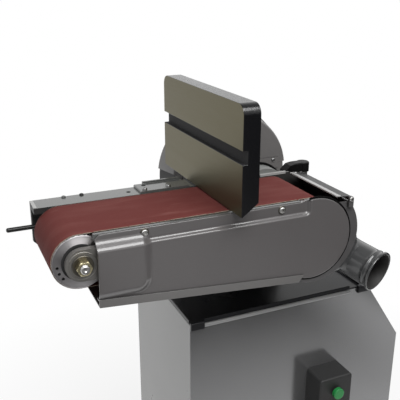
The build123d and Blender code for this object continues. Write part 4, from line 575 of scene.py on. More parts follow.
def ribbon(outer, inner, start, end):
    """Mesh of a strip between two rows of (x, z) points, from one distance across the arm to another."""
    bm = bmesh.new()
    loops = []
    for y in spread(start, end, 8):
        loops.append(new_row(bm, [arm(x, y, z) for x, z in outer + inner[::-1]]))
    grid_faces(bm, loops, closed=True)
    last = len(loops[0]) - 1
    for loop in (loops[0], loops[-1]):
        for i in range(len(outer) - 1):
            bm.faces.new([loop[i], loop[i + 1], loop[last - i - 1], loop[last - i]])
    return bm


# Nodes whose shape is carried over, with the width of their broken edges, by finish
ROUNDED = {
    "rail_paint": {"front_rail": 0.8, "table_bracket": 1.0, "arm_frame": 1.5},
    "casting_paint": {"cross_beam": 1.0, "table_trunnion": 1.0, "headstock": 2.0, "table_seat_rail": 1.5},
    "stand_paint": {"front_panel": 0.8, "right_panel": 0.8, "rear_panel": 0.6, "left_foot_rail": 1.0,
                    "right_foot_rail": 1.0, "motor_shelf": 0.8},
    "guard_paint": {"disc_guard": 1.0, "pulley_cover": 0.6, "disc_shroud": 1.0},
    "black_plastic": {"arm_lock_lever": 2.5, "table_lock_lever": 2.0},
    "yoke_iron": {"idler_yoke": 1.2}, "table_iron": {"table": 1.6}, "drive_aluminium": {"drive_drum": 0.6},
    "idler_aluminium": {"idler_drum": 0.6}, "tray_black": {"stand_top": 1.0},
    "left_panel_painted_light": {"left_panel": 0.8}, "matte_black_and_painted_shade": {"switch_box": 1.0}, "pan_paint": {"dust_pan": 1.4},
    "plated_steel": {"headstock_bolts": 0.6}, "black_steel": {"tension_lever": 0.8},
    "hood_paint": {"dust_hood": 1.0},
}
# Nodes that are shown as they are
PLAIN = {
    "bright_steel": ["spindle", "idler_bearings", "spindle_bearings", "platen", "motor_shaft"],
    "plated_steel": ["flap_pin", "trunnion_studs", "arm_lock_stud"],
    "motor_paint": ["motor", "motor_pulley", "spindle_pulley"],
    "drive_aluminium": ["disc_plate"], "disc_grit": ["disc_abrasive"], "black_plastic": ["tracking_knob"],
    "matte_black_and_painted_shade": ["cord_gland"], "rubber_black_and_painted_shade": ["drive_belt"], "green_plastic": ["start_button"],
    "red_plastic": ["stop_button"],
}


# Tests for the faces that take a second finish, by their middle and direction


def painted_shade_wall(middle, way):
    """Rear wall's inner side and its end beside the idler drum, painted black as painted shade."""
    inward = way.z < 0.5 and (way.y < -0.5 or way.x < -0.5)
    return inward and middle.z < RAIL_TOP - 0.5 and middle.x < BOSS_START


def painted_shade_hood(middle, way):
    """Hood's inner side, round the drive drum and on its two cheeks, darkened as painted shade."""
    if abs(way.y) > 0.5:
        return way.y * middle.y < 0
    return way.x * (HOOD_X - middle.x) + way.z * (HOOD_Z - middle.z) > 0


def painted_shade_holes(middle, way):
    """Walls and floors of the holes drilled in the drum's ends, darkened as painted shade."""
    radius = math.hypot(middle.x, middle.z - AXIS_Z)
    return 31.0 < radius < 47.0 and 0.35 < DRUM_HALF - abs(middle.y) < 15.0


SECOND = (
    ("idler_drum", "painted_shade_dark", painted_shade_holes),
    ("arm_frame", "matte_black_and_painted_shade", painted_shade_wall),
    ("dust_hood", "painted_shade_dark", painted_shade_hood),
    # Rolled bead that stands proud of the front panel, painted lighter than the panel as painted highlight
    ("front_panel", "hem_painted_highlight", lambda middle, way: middle.y < TRAY_FRONT - 0.2),
    # Round boss at the arm's pivot, painted lighter than the frame as painted light
    ("arm_frame", "boss_painted_light", lambda middle, way: middle.x > BOSS_START),
    # Rim of the lower shroud, round the disc's edge, painted black as painted shade
    ("disc_shroud", "matte_black_and_painted_shade", lambda middle, way: abs(way.y) < 0.7),
    # Pan's inner side and the edges at its open end, darkened as painted shade
    ("dust_pan", "painted_shade_dark", lambda middle, way: way.dot(PAN_MIDDLE - middle) > 0 and way.x > -0.9),
    # Upper edge of the hood's cheek beside the belt, painted pale as painted highlight
    ("dust_hood", "strip_painted_highlight", lambda middle, way: middle.y > 94.0 and way.z > 0.9 and middle.z > -2.5),
)
copies = {}
for finish, widths in ROUNDED.items():
    for node, width in widths.items():
        copies[node] = rounded_copy(node, width, finish)
for node, finish, test in SECOND:
    second_finish(copies[node], finish, test)
for finish, nodes in PLAIN.items():
    for node in nodes:
        frame["nodes"][node].data.materials.clear()
        frame["nodes"][node].data.materials.append(finishes[finish])


# Modelled pieces


def belt_point(distance, radius):
    """Point of the belt's loop in side view, counted from the drive drum's top towards the idler drum."""
    half_turn, rest = divmod(distance, DRIVE_X + math.pi * BELT_RADIUS)
    way = 1 - 2 * half_turn
    x, z = DRIVE_X / 2 - rest, radius
    if rest > DRIVE_X:
        angle = math.pi / 2 + (rest - DRIVE_X) / BELT_RADIUS
        x, z = radius * math.cos(angle) - DRIVE_X / 2, radius * math.sin(angle)
    return DRIVE_X / 2 + way * x, AXIS_Z + way * z


def abrasive_belt():
    """Belt loop with worn, slightly wavy edges and rounded corners at its grit side."""
    draw = random.Random(4)
    low, high = arm_limits("sanding_belt")
    steps, columns, most_worn = 420, 12, 0.35
    length = 2 * (DRIVE_X + math.pi * BELT_RADIUS)
    shoulder, side, inner = BELT_RADIUS - 0.05, BELT_RADIUS - 0.5, BELT_RADIUS - BELT_THICKNESS
    section = [(low.y + 0.5, shoulder)]
    section += [(y, BELT_RADIUS) for y in spread(low.y, high.y, columns)[1:-1]]
    section += [(high.y - 0.5, shoulder), (high.y, side), (high.y - 0.2, inner), (low.y + 0.2, inner),
                (low.y, side)]
    bm = bmesh.new()
    rows = []
    for step in range(steps):
        near, far = draw.uniform(0.0, most_worn), draw.uniform(0.0, most_worn)
        row = []
        for y, radius in section:
            x, z = belt_point(length * step / steps, radius)
            worn = near if y < low.y + 1 else -far if y > high.y - 1 else 0.0
            row.append(bm.verts.new(arm(x, y + worn, z)))
        rows.append(row)
    grid_faces(bm, rows + rows[:1], closed=True)
    piece("abrasive_belt", bm, "belt_grit", "sanding_belt", True, crease=50)


def fold(value, start, end, soft):
    """Straight ramp from 0 to 1 between start and end, its two folds rounded over a soft width."""
    def past(place):
        way = min(max(value - place + soft / 2, 0.0), soft)
        return way * way / (2 * soft) + max(value - place - soft / 2, 0.0)

    return min(max((past(start) - past(end)) / (end - start), 0.0), 1.0)


def round_rect_depth(x, z, left, right, bottom, top, corner):
    """How deep a point lies inside a rounded rectangle, negative outside."""
    out_x = max(left + corner - x, x - right + corner)
    out_z = max(bottom + corner - z, z - top + corner)
    inner = min(max(out_x, out_z), 0.0)
    return corner - inner - math.hypot(max(out_x, 0.0), max(out_z, 0.0))


def cover_edges(x):
    """Lower and upper edge of the cover at a distance along the arm."""
    low = COVER_BOTTOM - COVER_SLOPE * (x - cover_low.x)
    if x < END_X - END_RADIUS:
        return low, COVER_TOP - max(COVER_CORNER - (x - cover_low.x), 0.0)
    half = math.sqrt(max(END_RADIUS ** 2 - (x - END_X) ** 2, 0.0))
    return min(low, END_Z - half), max(COVER_TOP, END_Z + half)


def cover_depth(x, z, rim):
    """Distance along Y of the drawn sheet at a point of its side view, rim being the way to its edge."""
    beyond_left, beyond_top = -200.0, 60.0
    bulge = round_rect_depth(x, z, beyond_left, BULGE_RIGHT, BULGE_LOW, beyond_top, 26.0)
    ledge = round_rect_depth(x, z, LEDGE_LEFT, LEDGE_RIGHT, LEDGE_LOW, beyond_top, 9.0)
    rolled = LEDGE_Y + (cover_low.y - LEDGE_Y) * fold(-z, 13.0, 26.5, 9.0)
    y = COVER_FACE_Y + (LEDGE_Y - COVER_FACE_Y) * fold(ledge, 0.6, 5.4, 2.2)
    y += (rolled - y) * fold(bulge, 0.0, 13.0, 7.5)
    rim = min(rim, x - cover_low.x)
    if rim < COVER_ROUND:
        y += COVER_ROUND - math.sqrt(max(COVER_ROUND ** 2 - (COVER_ROUND - rim) ** 2, 0.0))
    return min(y, cover_high.y)


def drawn_cover():
    """Front cover: one drawn sheet with its bulge, its ledge and a turned rim."""
    steps, arc_steps, reach = 260, 72, 88.0
    ways = [0.0, 0.2, 0.45, 0.75, 1.2, 1.9, 2.9, 4.2, 5.8] + [8.0 + 2.0 * i for i in range(40)]
    shares = [way / reach for way in ways]
    columns = spread(cover_low.x, END_X, steps)
    columns += [cover_low.x + way for way in (0.1, 0.3, 0.6, 1.0, COVER_ROUND, COVER_CORNER)]
    bm = bmesh.new()

    def vertex(x, z, rim):
        return bm.verts.new(arm(x, cover_depth(x, z, rim), z))

    def turned_edge(x, z):
        return bm.verts.new(arm(x, cover_high.y, z))

    rows = []
    for x in sorted(set(columns)):
        low, high = cover_edges(x)
        column = [turned_edge(x, low)]
        for share in shares:
            column.append(vertex(x, low + share * (END_Z - low), share * (END_Z - low)))
        for share in [1.0] + shares[::-1]:
            column.append(vertex(x, high - share * (high - END_Z), share * (high - END_Z)))
        rows.append(column + [turned_edge(x, high)])
    arc = [rows[-1][len(shares) + 1:]]
    for angle in spread(0.0, math.pi, arc_steps)[1:]:
        across, up = math.sin(angle), math.cos(angle)
        ring = [turned_edge(END_X + END_RADIUS * across, END_Z + END_RADIUS * up)]
        for share in shares + [1.0]:
            way = END_RADIUS * (1 - share)
            ring.append(vertex(END_X + way * across, END_Z + way * up, share * END_RADIUS))
        arc.append(ring[::-1])
    grid_faces(bm, rows)
    grid_faces(bm, arc)
    bmesh.ops.remove_doubles(bm, verts=bm.verts, dist=2e-5)
    shown = piece("drawn_cover", bm, "cover_paint", "side_cover", True, crease=60)
    sheet = shown.modifiers.new("sheet", "SOLIDIFY")
    sheet.thickness = 1.6 * MM
    sheet.offset = -1.0


def solids_of(node):
    """Lowest and highest corner of each separate solid of a node, in the arm's millimetres."""
    bm = welded_mesh(node)
    origin = arm(0, 0, 0)
    seen = set()
    found = []
    for start in bm.verts:
        if start in seen:
            continue
        seen.add(start)
        group, waiting = [], [start]
        while waiting:
            vertex = waiting.pop()
            group.append((vertex.co - origin) / MM)
            for edge in vertex.link_edges:
                other = edge.other_vert(vertex)
                if other not in seen:
                    seen.add(other)
                    waiting.append(other)
        found.append([Vector([pick(place[i] for place in group) for i in range(3)]) for pick in (min, max)])
    bm.free()
    return found


def cross_head(bm, seat, way, radius, height, turn):
    """Pan head of a screw with a cross recess, from its seat outwards."""
    along = Vector(way)
    flat = along.orthogonal().normalized()
    first = flat * math.cos(turn) + along.cross(flat) * math.sin(turn)
    second = along.cross(first)
    profile = [(0.0, 0.0), (0.0, radius), (0.45 * height, radius), (0.72 * height, 0.93 * radius),
               (0.9 * height, 0.8 * radius), (height, 0.62 * radius)]
    rim = lathe(bm, profile, seat, 32, along, first)[-1]
    end, half = 0.46 * radius, 0.11 * radius
    quarter = [(end, -half), (end, half), (half, half)]
    outline = []
    for _ in range(4):
        outline += quarter
        quarter = [(-v, u) for u, v in quarter]
    loops = []
    for depth, share in ((0.0, 1.0), (0.55 * height, 0.7)):
        hub = seat + along * (height - depth) * MM
        loops.append(new_row(bm, [hub + (first * u + second * v) * share * MM for u, v in outline]))
    grid_faces(bm, loops, closed=True)
    bm.faces.new(loops[1])
    edges = [bm.edges.get((ring[i], ring[i - 1])) for ring in (rim, loops[0]) for i in range(len(ring))]
    bmesh.ops.triangle_fill(bm, use_beauty=True, edges=edges, normal=along)


def cross_screws(node, way, finish, widen=1.0):
    """Cross-recess heads in place of a node's plain ones, each turned its own way."""
    draw = random.Random(7)
    along = Vector(way)
    bm = bmesh.new()
    for low, high in solids_of(node):
        size = high - low
        height = abs(size.dot(along))
        radius = max(size - along * size.dot(along)) / 2 * widen
        seat = (low + high) / 2 - along * height / 2
        cross_head(bm, arm(*seat), along, radius, height, draw.uniform(0.0, math.pi))
    piece(node + "_heads", bm, finish, node, True)


def screw_washers():
    """Dark washers under the cover's screws."""
    profile = [(-0.2, 4.0), (0.7, 4.0), (0.7, 7.9), (0.3, 8.3), (-0.2, 8.3)]
    solids = solids_of("cover_screws")
    centres = [arm((low.x + high.x) / 2, high.y, (low.z + high.z) / 2) for low, high in solids]
    piece("cover_washers", turned_rings(profile, 48, *centres), "dark_steel", "cover_screws")


def pin_caps():
    """Domed ends of the flap's hinge pin."""
    profile = [(-2.4, 0.0), (-2.4, 4.6), (-1.4, 4.6), (-0.7, 4.1), (-0.2, 2.8), (0.0, 1.4), (0.0, 0.0)]
    low, high = arm_limits("flap_pin")
    middle = (low + high) / 2
    bm = bmesh.new()
    for end, way in ((low.y, -1), (high.y, 1)):
        lathe(bm, profile, arm(middle.x, end, middle.z), 40, (0, way, 0))
    piece("pin_caps", bm, "plated_steel", "flap_pin")


def rail_screws():
    """Two screws in the rail's top near the idler end, one of them dark, and the strip over its end."""
    screws = (("rail_screw", 18.2, 0.4, "rail_paint"), ("rail_screw_dark", 53.6, 1.1, "black_steel"))
    for name, x, turn, finish in screws:
        bm = bmesh.new()
        cross_head(bm, arm(x, REAR_WALL_Y - 5.5, RAIL_TOP), (0, 0, 1), 4.4, 3.0, turn)
        piece(name, bm, finish, "cover_screws")
    profile = ((0.2, 0.05), (0.6, 0.6), (6.4, 0.6), (6.8, 0.05))
    outer = [(RAIL_END + x, RAIL_TOP + z) for x, z in profile]
    inner = [(x, RAIL_TOP - 0.3) for x, z in outer]
    bm = ribbon(outer, inner, RAIL_INNER_Y, REAR_WALL_Y - 1.6)
    piece("rail_end_strip", bm, "pale_paint", "arm_frame")


def hex_nut(seat, across, height, bore, turn):
    """Mesh of a hexagon nut with both faces chamfered, from its seat towards the front."""
    bm = bmesh.new()
    corners = [1 / math.cos(angle % (math.pi / 3) - math.pi / 6) for angle in turns(72)]
    chamfer = [(0.0, 0.96), (0.03, 1.02), (0.08, 1.09), (0.14, 1.2)]
    rings = []
    for share, limit in chamfer + [(1 - share, limit) for share, limit in chamfer[::-1]]:
        rings.append((share, [across / 2 * min(corner, limit) for corner in corners]))
    for share, radius in ((1.0, bore + 0.9), (0.93, bore), (0.07, bore), (0.0, bore + 0.9)):
        rings.append((share, [radius] * len(corners)))
    rows = []
    for share, radii in rings:
        hub = seat + FRONTWARD * share * height * MM
        rows.append(new_row(bm, ring_spots(hub, FLAT, UPRIGHT, radii, turn)))
    grid_faces(bm, rows + rows[:1], closed=True)
    return bm


def idler_axle_end():
    """Idler axle with a threaded, centre-drilled end, and its nut."""
    steps, sides = 90, 48
    start = arm(0, YOKE_OUTER, AXIS_Z)
    whole, thread_start = YOKE_OUTER + AXLE_END, YOKE_OUTER + YOKE_OUTER
    thick_start, thick_end = YOKE_OUTER - YOKE_INNER, YOKE_OUTER + YOKE_INNER
    profile = [(0.0, 0.0), (0.0, THREAD_RADIUS - 0.8), (0.8, THREAD_RADIUS), (thick_start, THREAD_RADIUS),
               (thick_start, AXLE_RADIUS), (thick_end, AXLE_RADIUS), (thick_end, THREAD_RADIUS),
               (thread_start, THREAD_RADIUS)]
    bm = bmesh.new()
    rows = lathe(bm, profile, start, sides)[-1:]
    for distance in spread(thread_start, whole, steps)[1:]:
        radii = []
        for i in range(sides):
            phase = (distance / THREAD_PITCH - i / sides) % 1.0
            groove = 0.75 * (1 - abs(2 * phase - 1))
            radii.append(min(THREAD_RADIUS - groove, THREAD_RADIUS - 1.4 + (whole - distance)))
        hub = start + FRONTWARD * distance * MM
        rows.append(new_row(bm, ring_spots(hub, FLAT, UPRIGHT, radii)))
    grid_faces(bm, rows, closed=True)
    drilled = [(whole - 0.01, 3.4), (whole - 2.2, 1.4), (whole - 5.0, 1.4), (whole - 5.4, 0.0)]
    grid_faces(bm, [rows[-1], lathe(bm, drilled, start, sides)[0]], closed=True)
    piece("idler_axle_end", bm, "bright_steel", "idler_axle", True)
    seat = arm(0, -YOKE_OUTER - 3.0, AXIS_Z)
    nut = hex_nut(seat, 24.0, 12.0, THREAD_RADIUS + 0.1, math.radians(14))
    piece("idler_nut", nut, "yellow_zinc", "axle_nut", True)


def tension_coil():
    """Round-wire spring between the yoke's bridge and the cross beam."""
    low, high = arm_limits("tension_spring")
    wire, windings, steps = 2.0, 5.4, 260
    radius = (high.y - low.y) / 2 - wire
    angles = spread(0.0, 2 * math.pi * windings, steps)
    path = []
    for x, angle in zip(spread(low.x + wire, high.x - wire, steps), angles):
        path.append(arm(x, radius * math.cos(angle), AXIS_Z + radius * math.sin(angle)))
    rows = []
    side = None
    for i, point in enumerate(path):
        ahead = (path[min(i + 1, steps)] - path[max(i - 1, 0)]).normalized()
        side = ahead.orthogonal() if side is None else side - ahead * side.dot(ahead)
        side.normalize()
        rows.append(ring_spots(point, side, ahead.cross(side), [wire] * 14))
    coil = piece("tension_coil", capped(rows), "bright_steel", "tension_spring", True)
    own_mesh(coil)


def turned_trim():
    """Axle's washer, drum's lip, a black shield in the drum's recess as painted shade, step on the yoke and a
    black ring behind the pivot boss as painted shade.
    """
    yoke_face, drum_face = arm(0, -YOKE_OUTER, AXIS_Z), arm(0, -DRUM_HALF, AXIS_Z)
    collar_face = arm(DRIVE_X, 135.9, AXIS_Z)
    bore = THREAD_RADIUS + 0.3
    washer = [(0.0, bore), (0.0, 18.4), (0.6, 19.0), (2.4, 19.0), (3.0, 18.3), (3.0, bore)]
    lip = [(-0.3, 46.0), (0.5, 46.1), (0.8, 46.5), (0.8, 47.9), (0.5, 48.4), (-0.3, 48.6)]
    recess_shade_profile = [(-0.3, 16.0), (0.9, 16.0), (1.2, 16.4), (1.2, 32.4), (0.7, 33.2), (-0.3, 33.2)]
    step = [(-0.2, 23.6), (0.35, 24.0), (0.6, 24.5), (0.35, 25.0), (-0.2, 25.4)]
    pivot_shade_profile = [(0.0, 45.4), (0.0, 65.6), (1.0, 67.0), (3.2, 67.0), (4.2, 65.8), (4.2, 45.4)]
    for name, profile, centre, segments, finish, node, slot_node in (
        ("idler_washer", washer, yoke_face, 72, "dark_steel", "axle_nut", "axle_nut"),
        ("drum_lip", lip, drum_face, 96, "idler_aluminium", "idler_drum", "idler_drum"),
        # Black shield in the drum's recess: painted shade
        ("painted_shade_shield", recess_shade_profile, drum_face, 96, "rubber_black_and_painted_shade", "idler_drum", "drive_belt"),
        ("yoke_step", step, yoke_face, 96, "yoke_iron", "idler_yoke", "idler_yoke"),
        # Black ring behind the pivot boss: painted shade
        ("painted_shade_ring", pivot_shade_profile, collar_face, 96, "painted_shade_black", "drive_belt", "drive_belt"),
    ):
        piece(name, turned_rings(profile, segments, centre), finish, node)


def painted_shade_gasket():
    """Black strip between the cover's round end and the hood's rim, standing in for the shadow line there: painted
    shade.
    """
    section = ((-2.5, 0.0), (-2.5, -1.1), (3.5, -1.1), (4.0, -0.6), (4.0, 0.0))
    rows = []
    for angle in spread(math.radians(100), math.radians(-105), 64):
        row = []
        for out, y in section:
            x, z = (END_RADIUS + out) * math.cos(angle), (END_RADIUS + out) * math.sin(angle)
            row.append(arm(END_X + x, HOOD_FRONT + y, END_Z + z))
        rows.append(row)
    piece("painted_shade_gasket", capped(rows), "painted_shade_black", "side_cover")


def drum_strip():
    """Flap over the drive drum: a strip with a turned edge, painted pale as painted highlight, on a leaf rolled
    round the pin and painted black as painted shade.
    """
    low, high = arm_limits("drum_flap")
    pin_low, pin_high = arm_limits("flap_pin")
    pin_x, pin_z = (pin_low.x + pin_high.x) / 2, (pin_low.z + pin_high.z) / 2
    left, split, start = low.x, low.x + 11.5, low.x + 4.0

    def top(x):
        return high.z - 3.5 * (x - left) / (pin_x - left)

    def flat(begin, end, count, drop):
        return [(x, top(x) - drop) for x in spread(begin, end, count)[1:]]

    outer = [(left + x, top(left) + z) for x, z in ((0.0, -2.6), (0.0, -0.9), (0.3, -0.3), (0.9, 0.0))]
    outer += flat(left + 0.9, split - 0.8, 6, 0.0)
    outer += [(split - 0.3, top(split) - 0.3), (split, top(split) - 0.9)]
    inner = [(left + x, top(left) + z) for x, z in ((1.4, -2.6), (1.4, -2.0), (1.5, -1.7), (1.8, -1.5))]
    inner += flat(left + 1.8, split - 0.4, 7, 1.5)
    inner += [(split, top(split) - 1.5)]
    piece("drum_strip", ribbon(outer, inner, low.y, high.y), "strip_painted_highlight", "drum_flap", True)
    leaf = 1.6
    roll = (pin_high.z - pin_low.z) / 2 + 1.9
    outer = list(zip(spread(start, pin_x, 8), spread(top(start) - 1.55, pin_z + roll, 8)))
    inner = [(x, z - leaf) for x, z in outer]
    for angle in spread(math.radians(90), math.radians(-200), 30)[1:]:
        for row, radius in ((outer, roll), (inner, roll - leaf)):
            row.append((pin_x + radius * math.cos(angle), pin_z + radius * math.sin(angle)))
    # The rolled leaf is painted black as painted shade
    piece("flap_leaf", ribbon(outer, inner, low.y, high.y), "black_steel", "drum_flap")


def cheek_edge():
    """Strip folded over the upper edge of the hood's rear cheek, beside the belt, painted pale as painted
    highlight.
    """
    low, high = -5.0, 0.5
    inner, face, outer = 94.3, 95.0, 97.9
    section = [(inner, low), (inner, high - 0.5), (inner + 0.5, high), (outer, high), (outer, high - 1.4),
               (face, high - 1.4), (face, low)]
    rows = [[arm(x, y, z) for y, z in section] for x in spread(CHEEK_START, CHEEK_END, 12)]
    piece("cheek_edge", capped(rows), "strip_painted_highlight", "dust_hood")


def hood_meeting(point):
    """Distance along the port's stub from a point to the hood's inner side."""
    off_x, off_z = point.x - HOOD_X, point.z - HOOD_Z
    along = off_x * PORT_STUB.x + off_z * PORT_STUB.z
    inner = HOOD_RADIUS - HOOD_WALL
    return -along + math.sqrt(max(along ** 2 - off_x ** 2 - off_z ** 2 + inner ** 2, 0.0))


# Distance before the port's mouth and radius, along the outside to the lip and back along the bore
SPOUT_END = (
    (52.0, 40.0), (42.0, 40.0), (32.0, 40.0), (24.0, 40.0), (18.6, 40.0), (17.6, 40.7), (16.2, 41.4),
    (14.8, 41.4), (13.4, 40.7), (12.4, 40.0), (7.4, 40.1), (6.2, 41.0), (5.4, 42.6), (4.4, 43.4),
    (1.4, 43.4), (0.4, 43.0), (0.0, 42.2), (0.0, 39.4), (0.5, 38.5), (1.6, 38.0), (30.0, 38.0),
    (59.0, 38.0), (60.5, 37.0),
)


def dust_spout():
    """Dust port: a tube with a flared root on the hood, a bend, a bead and a turned lip."""
    sweep = PORT_STUB.angle(PORT_WAY)
    tangent = PORT_BEND * math.tan(sweep / 2)
    bend_start = PORT_MOUTH - PORT_WAY * PORT_STRAIGHT - PORT_STUB * tangent
    inward = (PORT_WAY - PORT_STUB * PORT_STUB.dot(PORT_WAY)).normalized()
    across = PORT_STUB.cross(inward)

    def ring(hub, out, radius):
        return ring_spots(hub, out, across, [radius] * 72, unit=1.0)

    def root_row(setback, radius):
        spots = ring(bend_start, inward, radius)
        return [spot + PORT_STUB * max(-setback, min(hood_meeting(spot), 0.0)) for spot in spots]

    def bend_hub(turn):
        sideways, ahead = PORT_BEND * (1 - math.cos(turn)), PORT_BEND * math.sin(turn)
        return bend_start + inward * sideways + PORT_STUB * ahead

    def bend_row(turn, radius):
        return ring(bend_hub(turn), inward * math.cos(turn) - PORT_STUB * math.sin(turn), radius)

    def flared(row, hub):
        spots = []
        for spot in row:
            gap = math.hypot(spot.x - HOOD_X, spot.z - HOOD_Z) - HOOD_RADIUS
            share = 1 - min(max(gap / FLARE_FADE, 0.0), 1.0)
            moved = spot + (spot - hub).normalized() * FLARE * share ** 2.2
            moved.y = max(moved.y, min(spot.y, HOOD_FRONT))
            spots.append(moved)
        return spots

    bend = spread(0.0, sweep, 24)
    rows = []
    for setback in (14.0, 10.0, 7.0, 4.0, 2.0):
        rows.append(flared(root_row(setback, PORT_TUBE), bend_start - PORT_STUB * setback))
    rows += [flared(bend_row(turn, PORT_TUBE), bend_hub(turn)) for turn in bend]
    for before, radius in SPOUT_END:
        rows.append(ring(PORT_MOUTH - PORT_WAY * before, across.cross(PORT_WAY), radius))
    rows += [bend_row(turn, PORT_BORE) for turn in bend[::-1]]
    rows += [root_row(setback, PORT_BORE) for setback in (4.0, 8.0, 14.0)]
    bm = bmesh.new()
    made = [new_row(bm, [arm(*spot) for spot in row]) for row in rows]
    grid_faces(bm, made + made[:1], closed=True)
    bmesh.ops.remove_doubles(bm, verts=bm.verts, dist=2e-5)
    shown = piece("dust_spout", bm, "spout_paint", "dust_port", True, crease=40)

    # Faces inside the bore take near-black as painted shade
    def painted_shade_bore(spot, way):
        before = (PORT_MOUTH - spot).dot(PORT_WAY)
        if before > PORT_STRAIGHT - tangent:
            return min((spot - bend_hub(turn)).length for turn in bend) < PORT_TUBE - 1.0
        return before > 1.0 and (PORT_MOUTH - PORT_WAY * before - spot).length < PORT_TUBE - 1.0

    second_finish(shown, "painted_shade_dark", painted_shade_bore)


def tray_corners():
    """Dark caps at the two ends of the hem bead, under the tray's front corners."""
    tray_left = arm_limits("stand_top")[0].x
    middle_z, half_height, proud, corner = -255.5, 9.0, 6.0, 3.0
    section = [(0.2, half_height)]
    for angle in spread(math.pi / 2, math.pi, 8):
        section.append((corner - proud + corner * math.cos(angle),
                        half_height - corner + corner * math.sin(angle)))
    section += [(y, -z) for y, z in section[::-1]]
    caps = []
    for start, end in ((tray_left, HEM_START - 1.0), (HEM_END + 1.0, HEM_END + HEM_START - tray_left)):
        rows = []
        for x, share in ((start, 0.9), (start + 0.8, 1.0), (end - 0.8, 1.0), (end, 0.9)):
            rows.append([arm(x, TRAY_FRONT + y * share, middle_z + z * share) for y, z in section])
        caps.append(rows)
    piece("tray_corners", capped(*caps), "tray_black", "stand_top")


abrasive_belt()
drawn_cover()
cross_screws("cover_screws", FRONTWARD, "plated_steel", 1.25)
cross_screws("bracket_screws", (0, 0, 1), "dark_zinc")
cross_screws("guard_screws", FRONTWARD, "dark_zinc")
cross_screws("panel_screws", (0, 1, 0), "plated_steel")
screw_washers()
pin_caps()
rail_screws()
idler_axle_end()
tension_coil()
turned_trim()
painted_shade_gasket()
drum_strip()
cheek_edge()
dust_spout()
tray_corners()


# Stage, light and camera
ROOM_LIGHT, FLOOR_HALF, PHOTO_SIDE = 0.26, 60.0, 400


def ray_kinds(tree):
    """Whether a ray comes from the camera, and whether it comes from a mirror or through glass."""
    ray = put(tree, "ShaderNodeLightPath").outputs
    return ray["Is Camera Ray"], maths(tree, "MAXIMUM", ray["Is Glossy Ray"], ray["Is Transmission Ray"])


def white_room():
    """World that is white to the camera and behind the object, and dimmer in the room behind the camera."""
    world = bpy.data.worlds.new("studio")
    bpy.context.scene.world = world
    world.use_nodes = True
    tree = world.node_tree
    background = tree.nodes["Background"]
    camera, glossy = ray_kinds(tree)
    way = split_xyz(tree, put(tree, "ShaderNodeTexCoord").outputs["Generated"])
    behind = ramp(tree, way["Y"], -0.45, 0.15)
    above = ramp(tree, way["Z"], 0.05, 0.35)
    top = ramp(tree, way["Z"], 0.6, 0.9, 0.88, 0.25)
    mirrored = maths(tree, "MULTIPLY_ADD", maths(tree, "MAXIMUM", behind, above), top, 0.12)
    level = mix_values(tree, camera, mix_values(tree, glossy, ROOM_LIGHT, mirrored), 1.0)
    background.inputs["Color"].default_value = (1.0, 1.0, 1.0, 1.0)
    tree.links.new(level, background.inputs["Strength"])


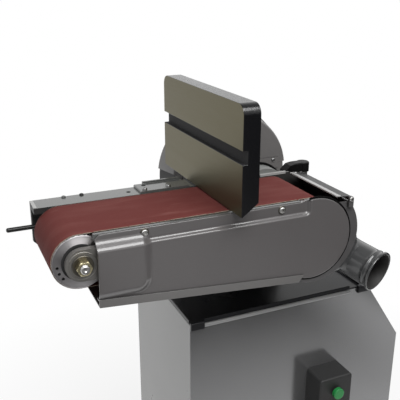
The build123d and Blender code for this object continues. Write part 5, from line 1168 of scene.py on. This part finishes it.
def floor_finish():
    """White to the camera but for the object's shadow, and in places darker in the object's reflections."""
    material, tree, shader = new_material("floor_white")
    shader.inputs["Base Color"].default_value = (0.95, 0.95, 0.95, 1)
    shader.inputs["Roughness"].default_value = 0.9
    camera, glossy = ray_kinds(tree)
    position = put(tree, "ShaderNodeNewGeometry").outputs["Position"]
    where = split_xyz(tree, position)
    front = ramp(tree, where["Y"], -0.5, -1.2)
    left = ramp(tree, where["X"], 0.95, 0.68)
    far = ramp(tree, where["Y"], -1.25, -1.55)
    right = ramp(tree, where["X"], 0.98, 1.08)
    across = ramp(tree, where["X"], 0.3, 1.15, 0.5, 1.0)
    drum_side = ramp(tree, where["X"], 0.1, -0.05, 0.0, 0.9)
    shade = mix_values(tree, far, left, maths(tree, "MAXIMUM", across, drum_side))
    dim = maths(tree, "MAXIMUM", right, maths(tree, "MULTIPLY", front, shade))
    mirrored = maths(tree, "MULTIPLY_ADD", dim, -0.95, 1.0)
    level = mix_values(tree, camera, mirrored, 1.0)
    glow = put(tree, "ShaderNodeEmission", {"Color": (1, 1, 1, 1), "Strength": level}).outputs[0]
    open_floor = ramp(tree, vector_maths(tree, "LENGTH", position), 0.4, 1.3, 0.82, 1.0)
    share = maths(tree, "MULTIPLY", maths(tree, "MAXIMUM", camera, glossy), open_floor)
    mixed = put(tree, "ShaderNodeMixShader", {0: share, 1: shader.outputs[0], 2: glow})
    tree.links.new(mixed.outputs[0], tree.nodes["Material Output"].inputs["Surface"])
    return material


def pale_floor():
    """Floor under the stand."""
    bm = bmesh.new()
    signs = ((-1, -1), (1, -1), (1, 1), (-1, 1))
    bm.faces.new(new_row(bm, [(x * FLOOR_HALF, y * FLOOR_HALF, 0.0) for x, y in signs]))
    floor = shown_mesh("floor", bm, floor_finish())


def aimed(name, data, place, ahead):
    """Lamp or camera at a place, facing a way."""
    holder = bpy.data.objects.new(name, data)
    holder.location = place
    holder.rotation_euler = ahead.to_track_quat("-Z", "Y").to_euler()
    bpy.context.scene.collection.objects.link(holder)
    return holder


def front_softbox():
    """Large soft lamp above and in front of the arm."""
    lamp = bpy.data.lights.new("front_softbox", "AREA")
    lamp.shape = "RECTANGLE"
    lamp.size = 1.8
    lamp.size_y = 0.8
    lamp.energy = 39.0
    place, target = Vector((-0.15, -1.2, 2.5)), Vector((-0.2, -0.2, 0.9))
    aimed("front_softbox", lamp, place, target - place)


def photo_camera():
    """Camera at the photograph's place, turned and tilted as it was there."""
    focal_pixels, down_pixels = 632.6, 9.0
    turn, tilt = math.radians(23.83), math.radians(18.79)
    camera = bpy.data.cameras.new("photo_camera")
    camera.sensor_width = 36.0
    camera.lens = focal_pixels / PHOTO_SIDE * camera.sensor_width
    camera.shift_y = -down_pixels / PHOTO_SIDE
    camera.clip_start = 0.05
    camera.clip_end = 300.0
    ahead = Vector((math.sin(turn) * math.cos(tilt), math.cos(turn) * math.cos(tilt), -math.sin(tilt)))
    bpy.context.scene.camera = aimed("photo_camera", camera, arm(-208.9, -1051.1, 408.5), ahead)


white_room()
pale_floor()
front_softbox()
photo_camera()
bpy.context.scene.view_settings.view_transform = "Standard"
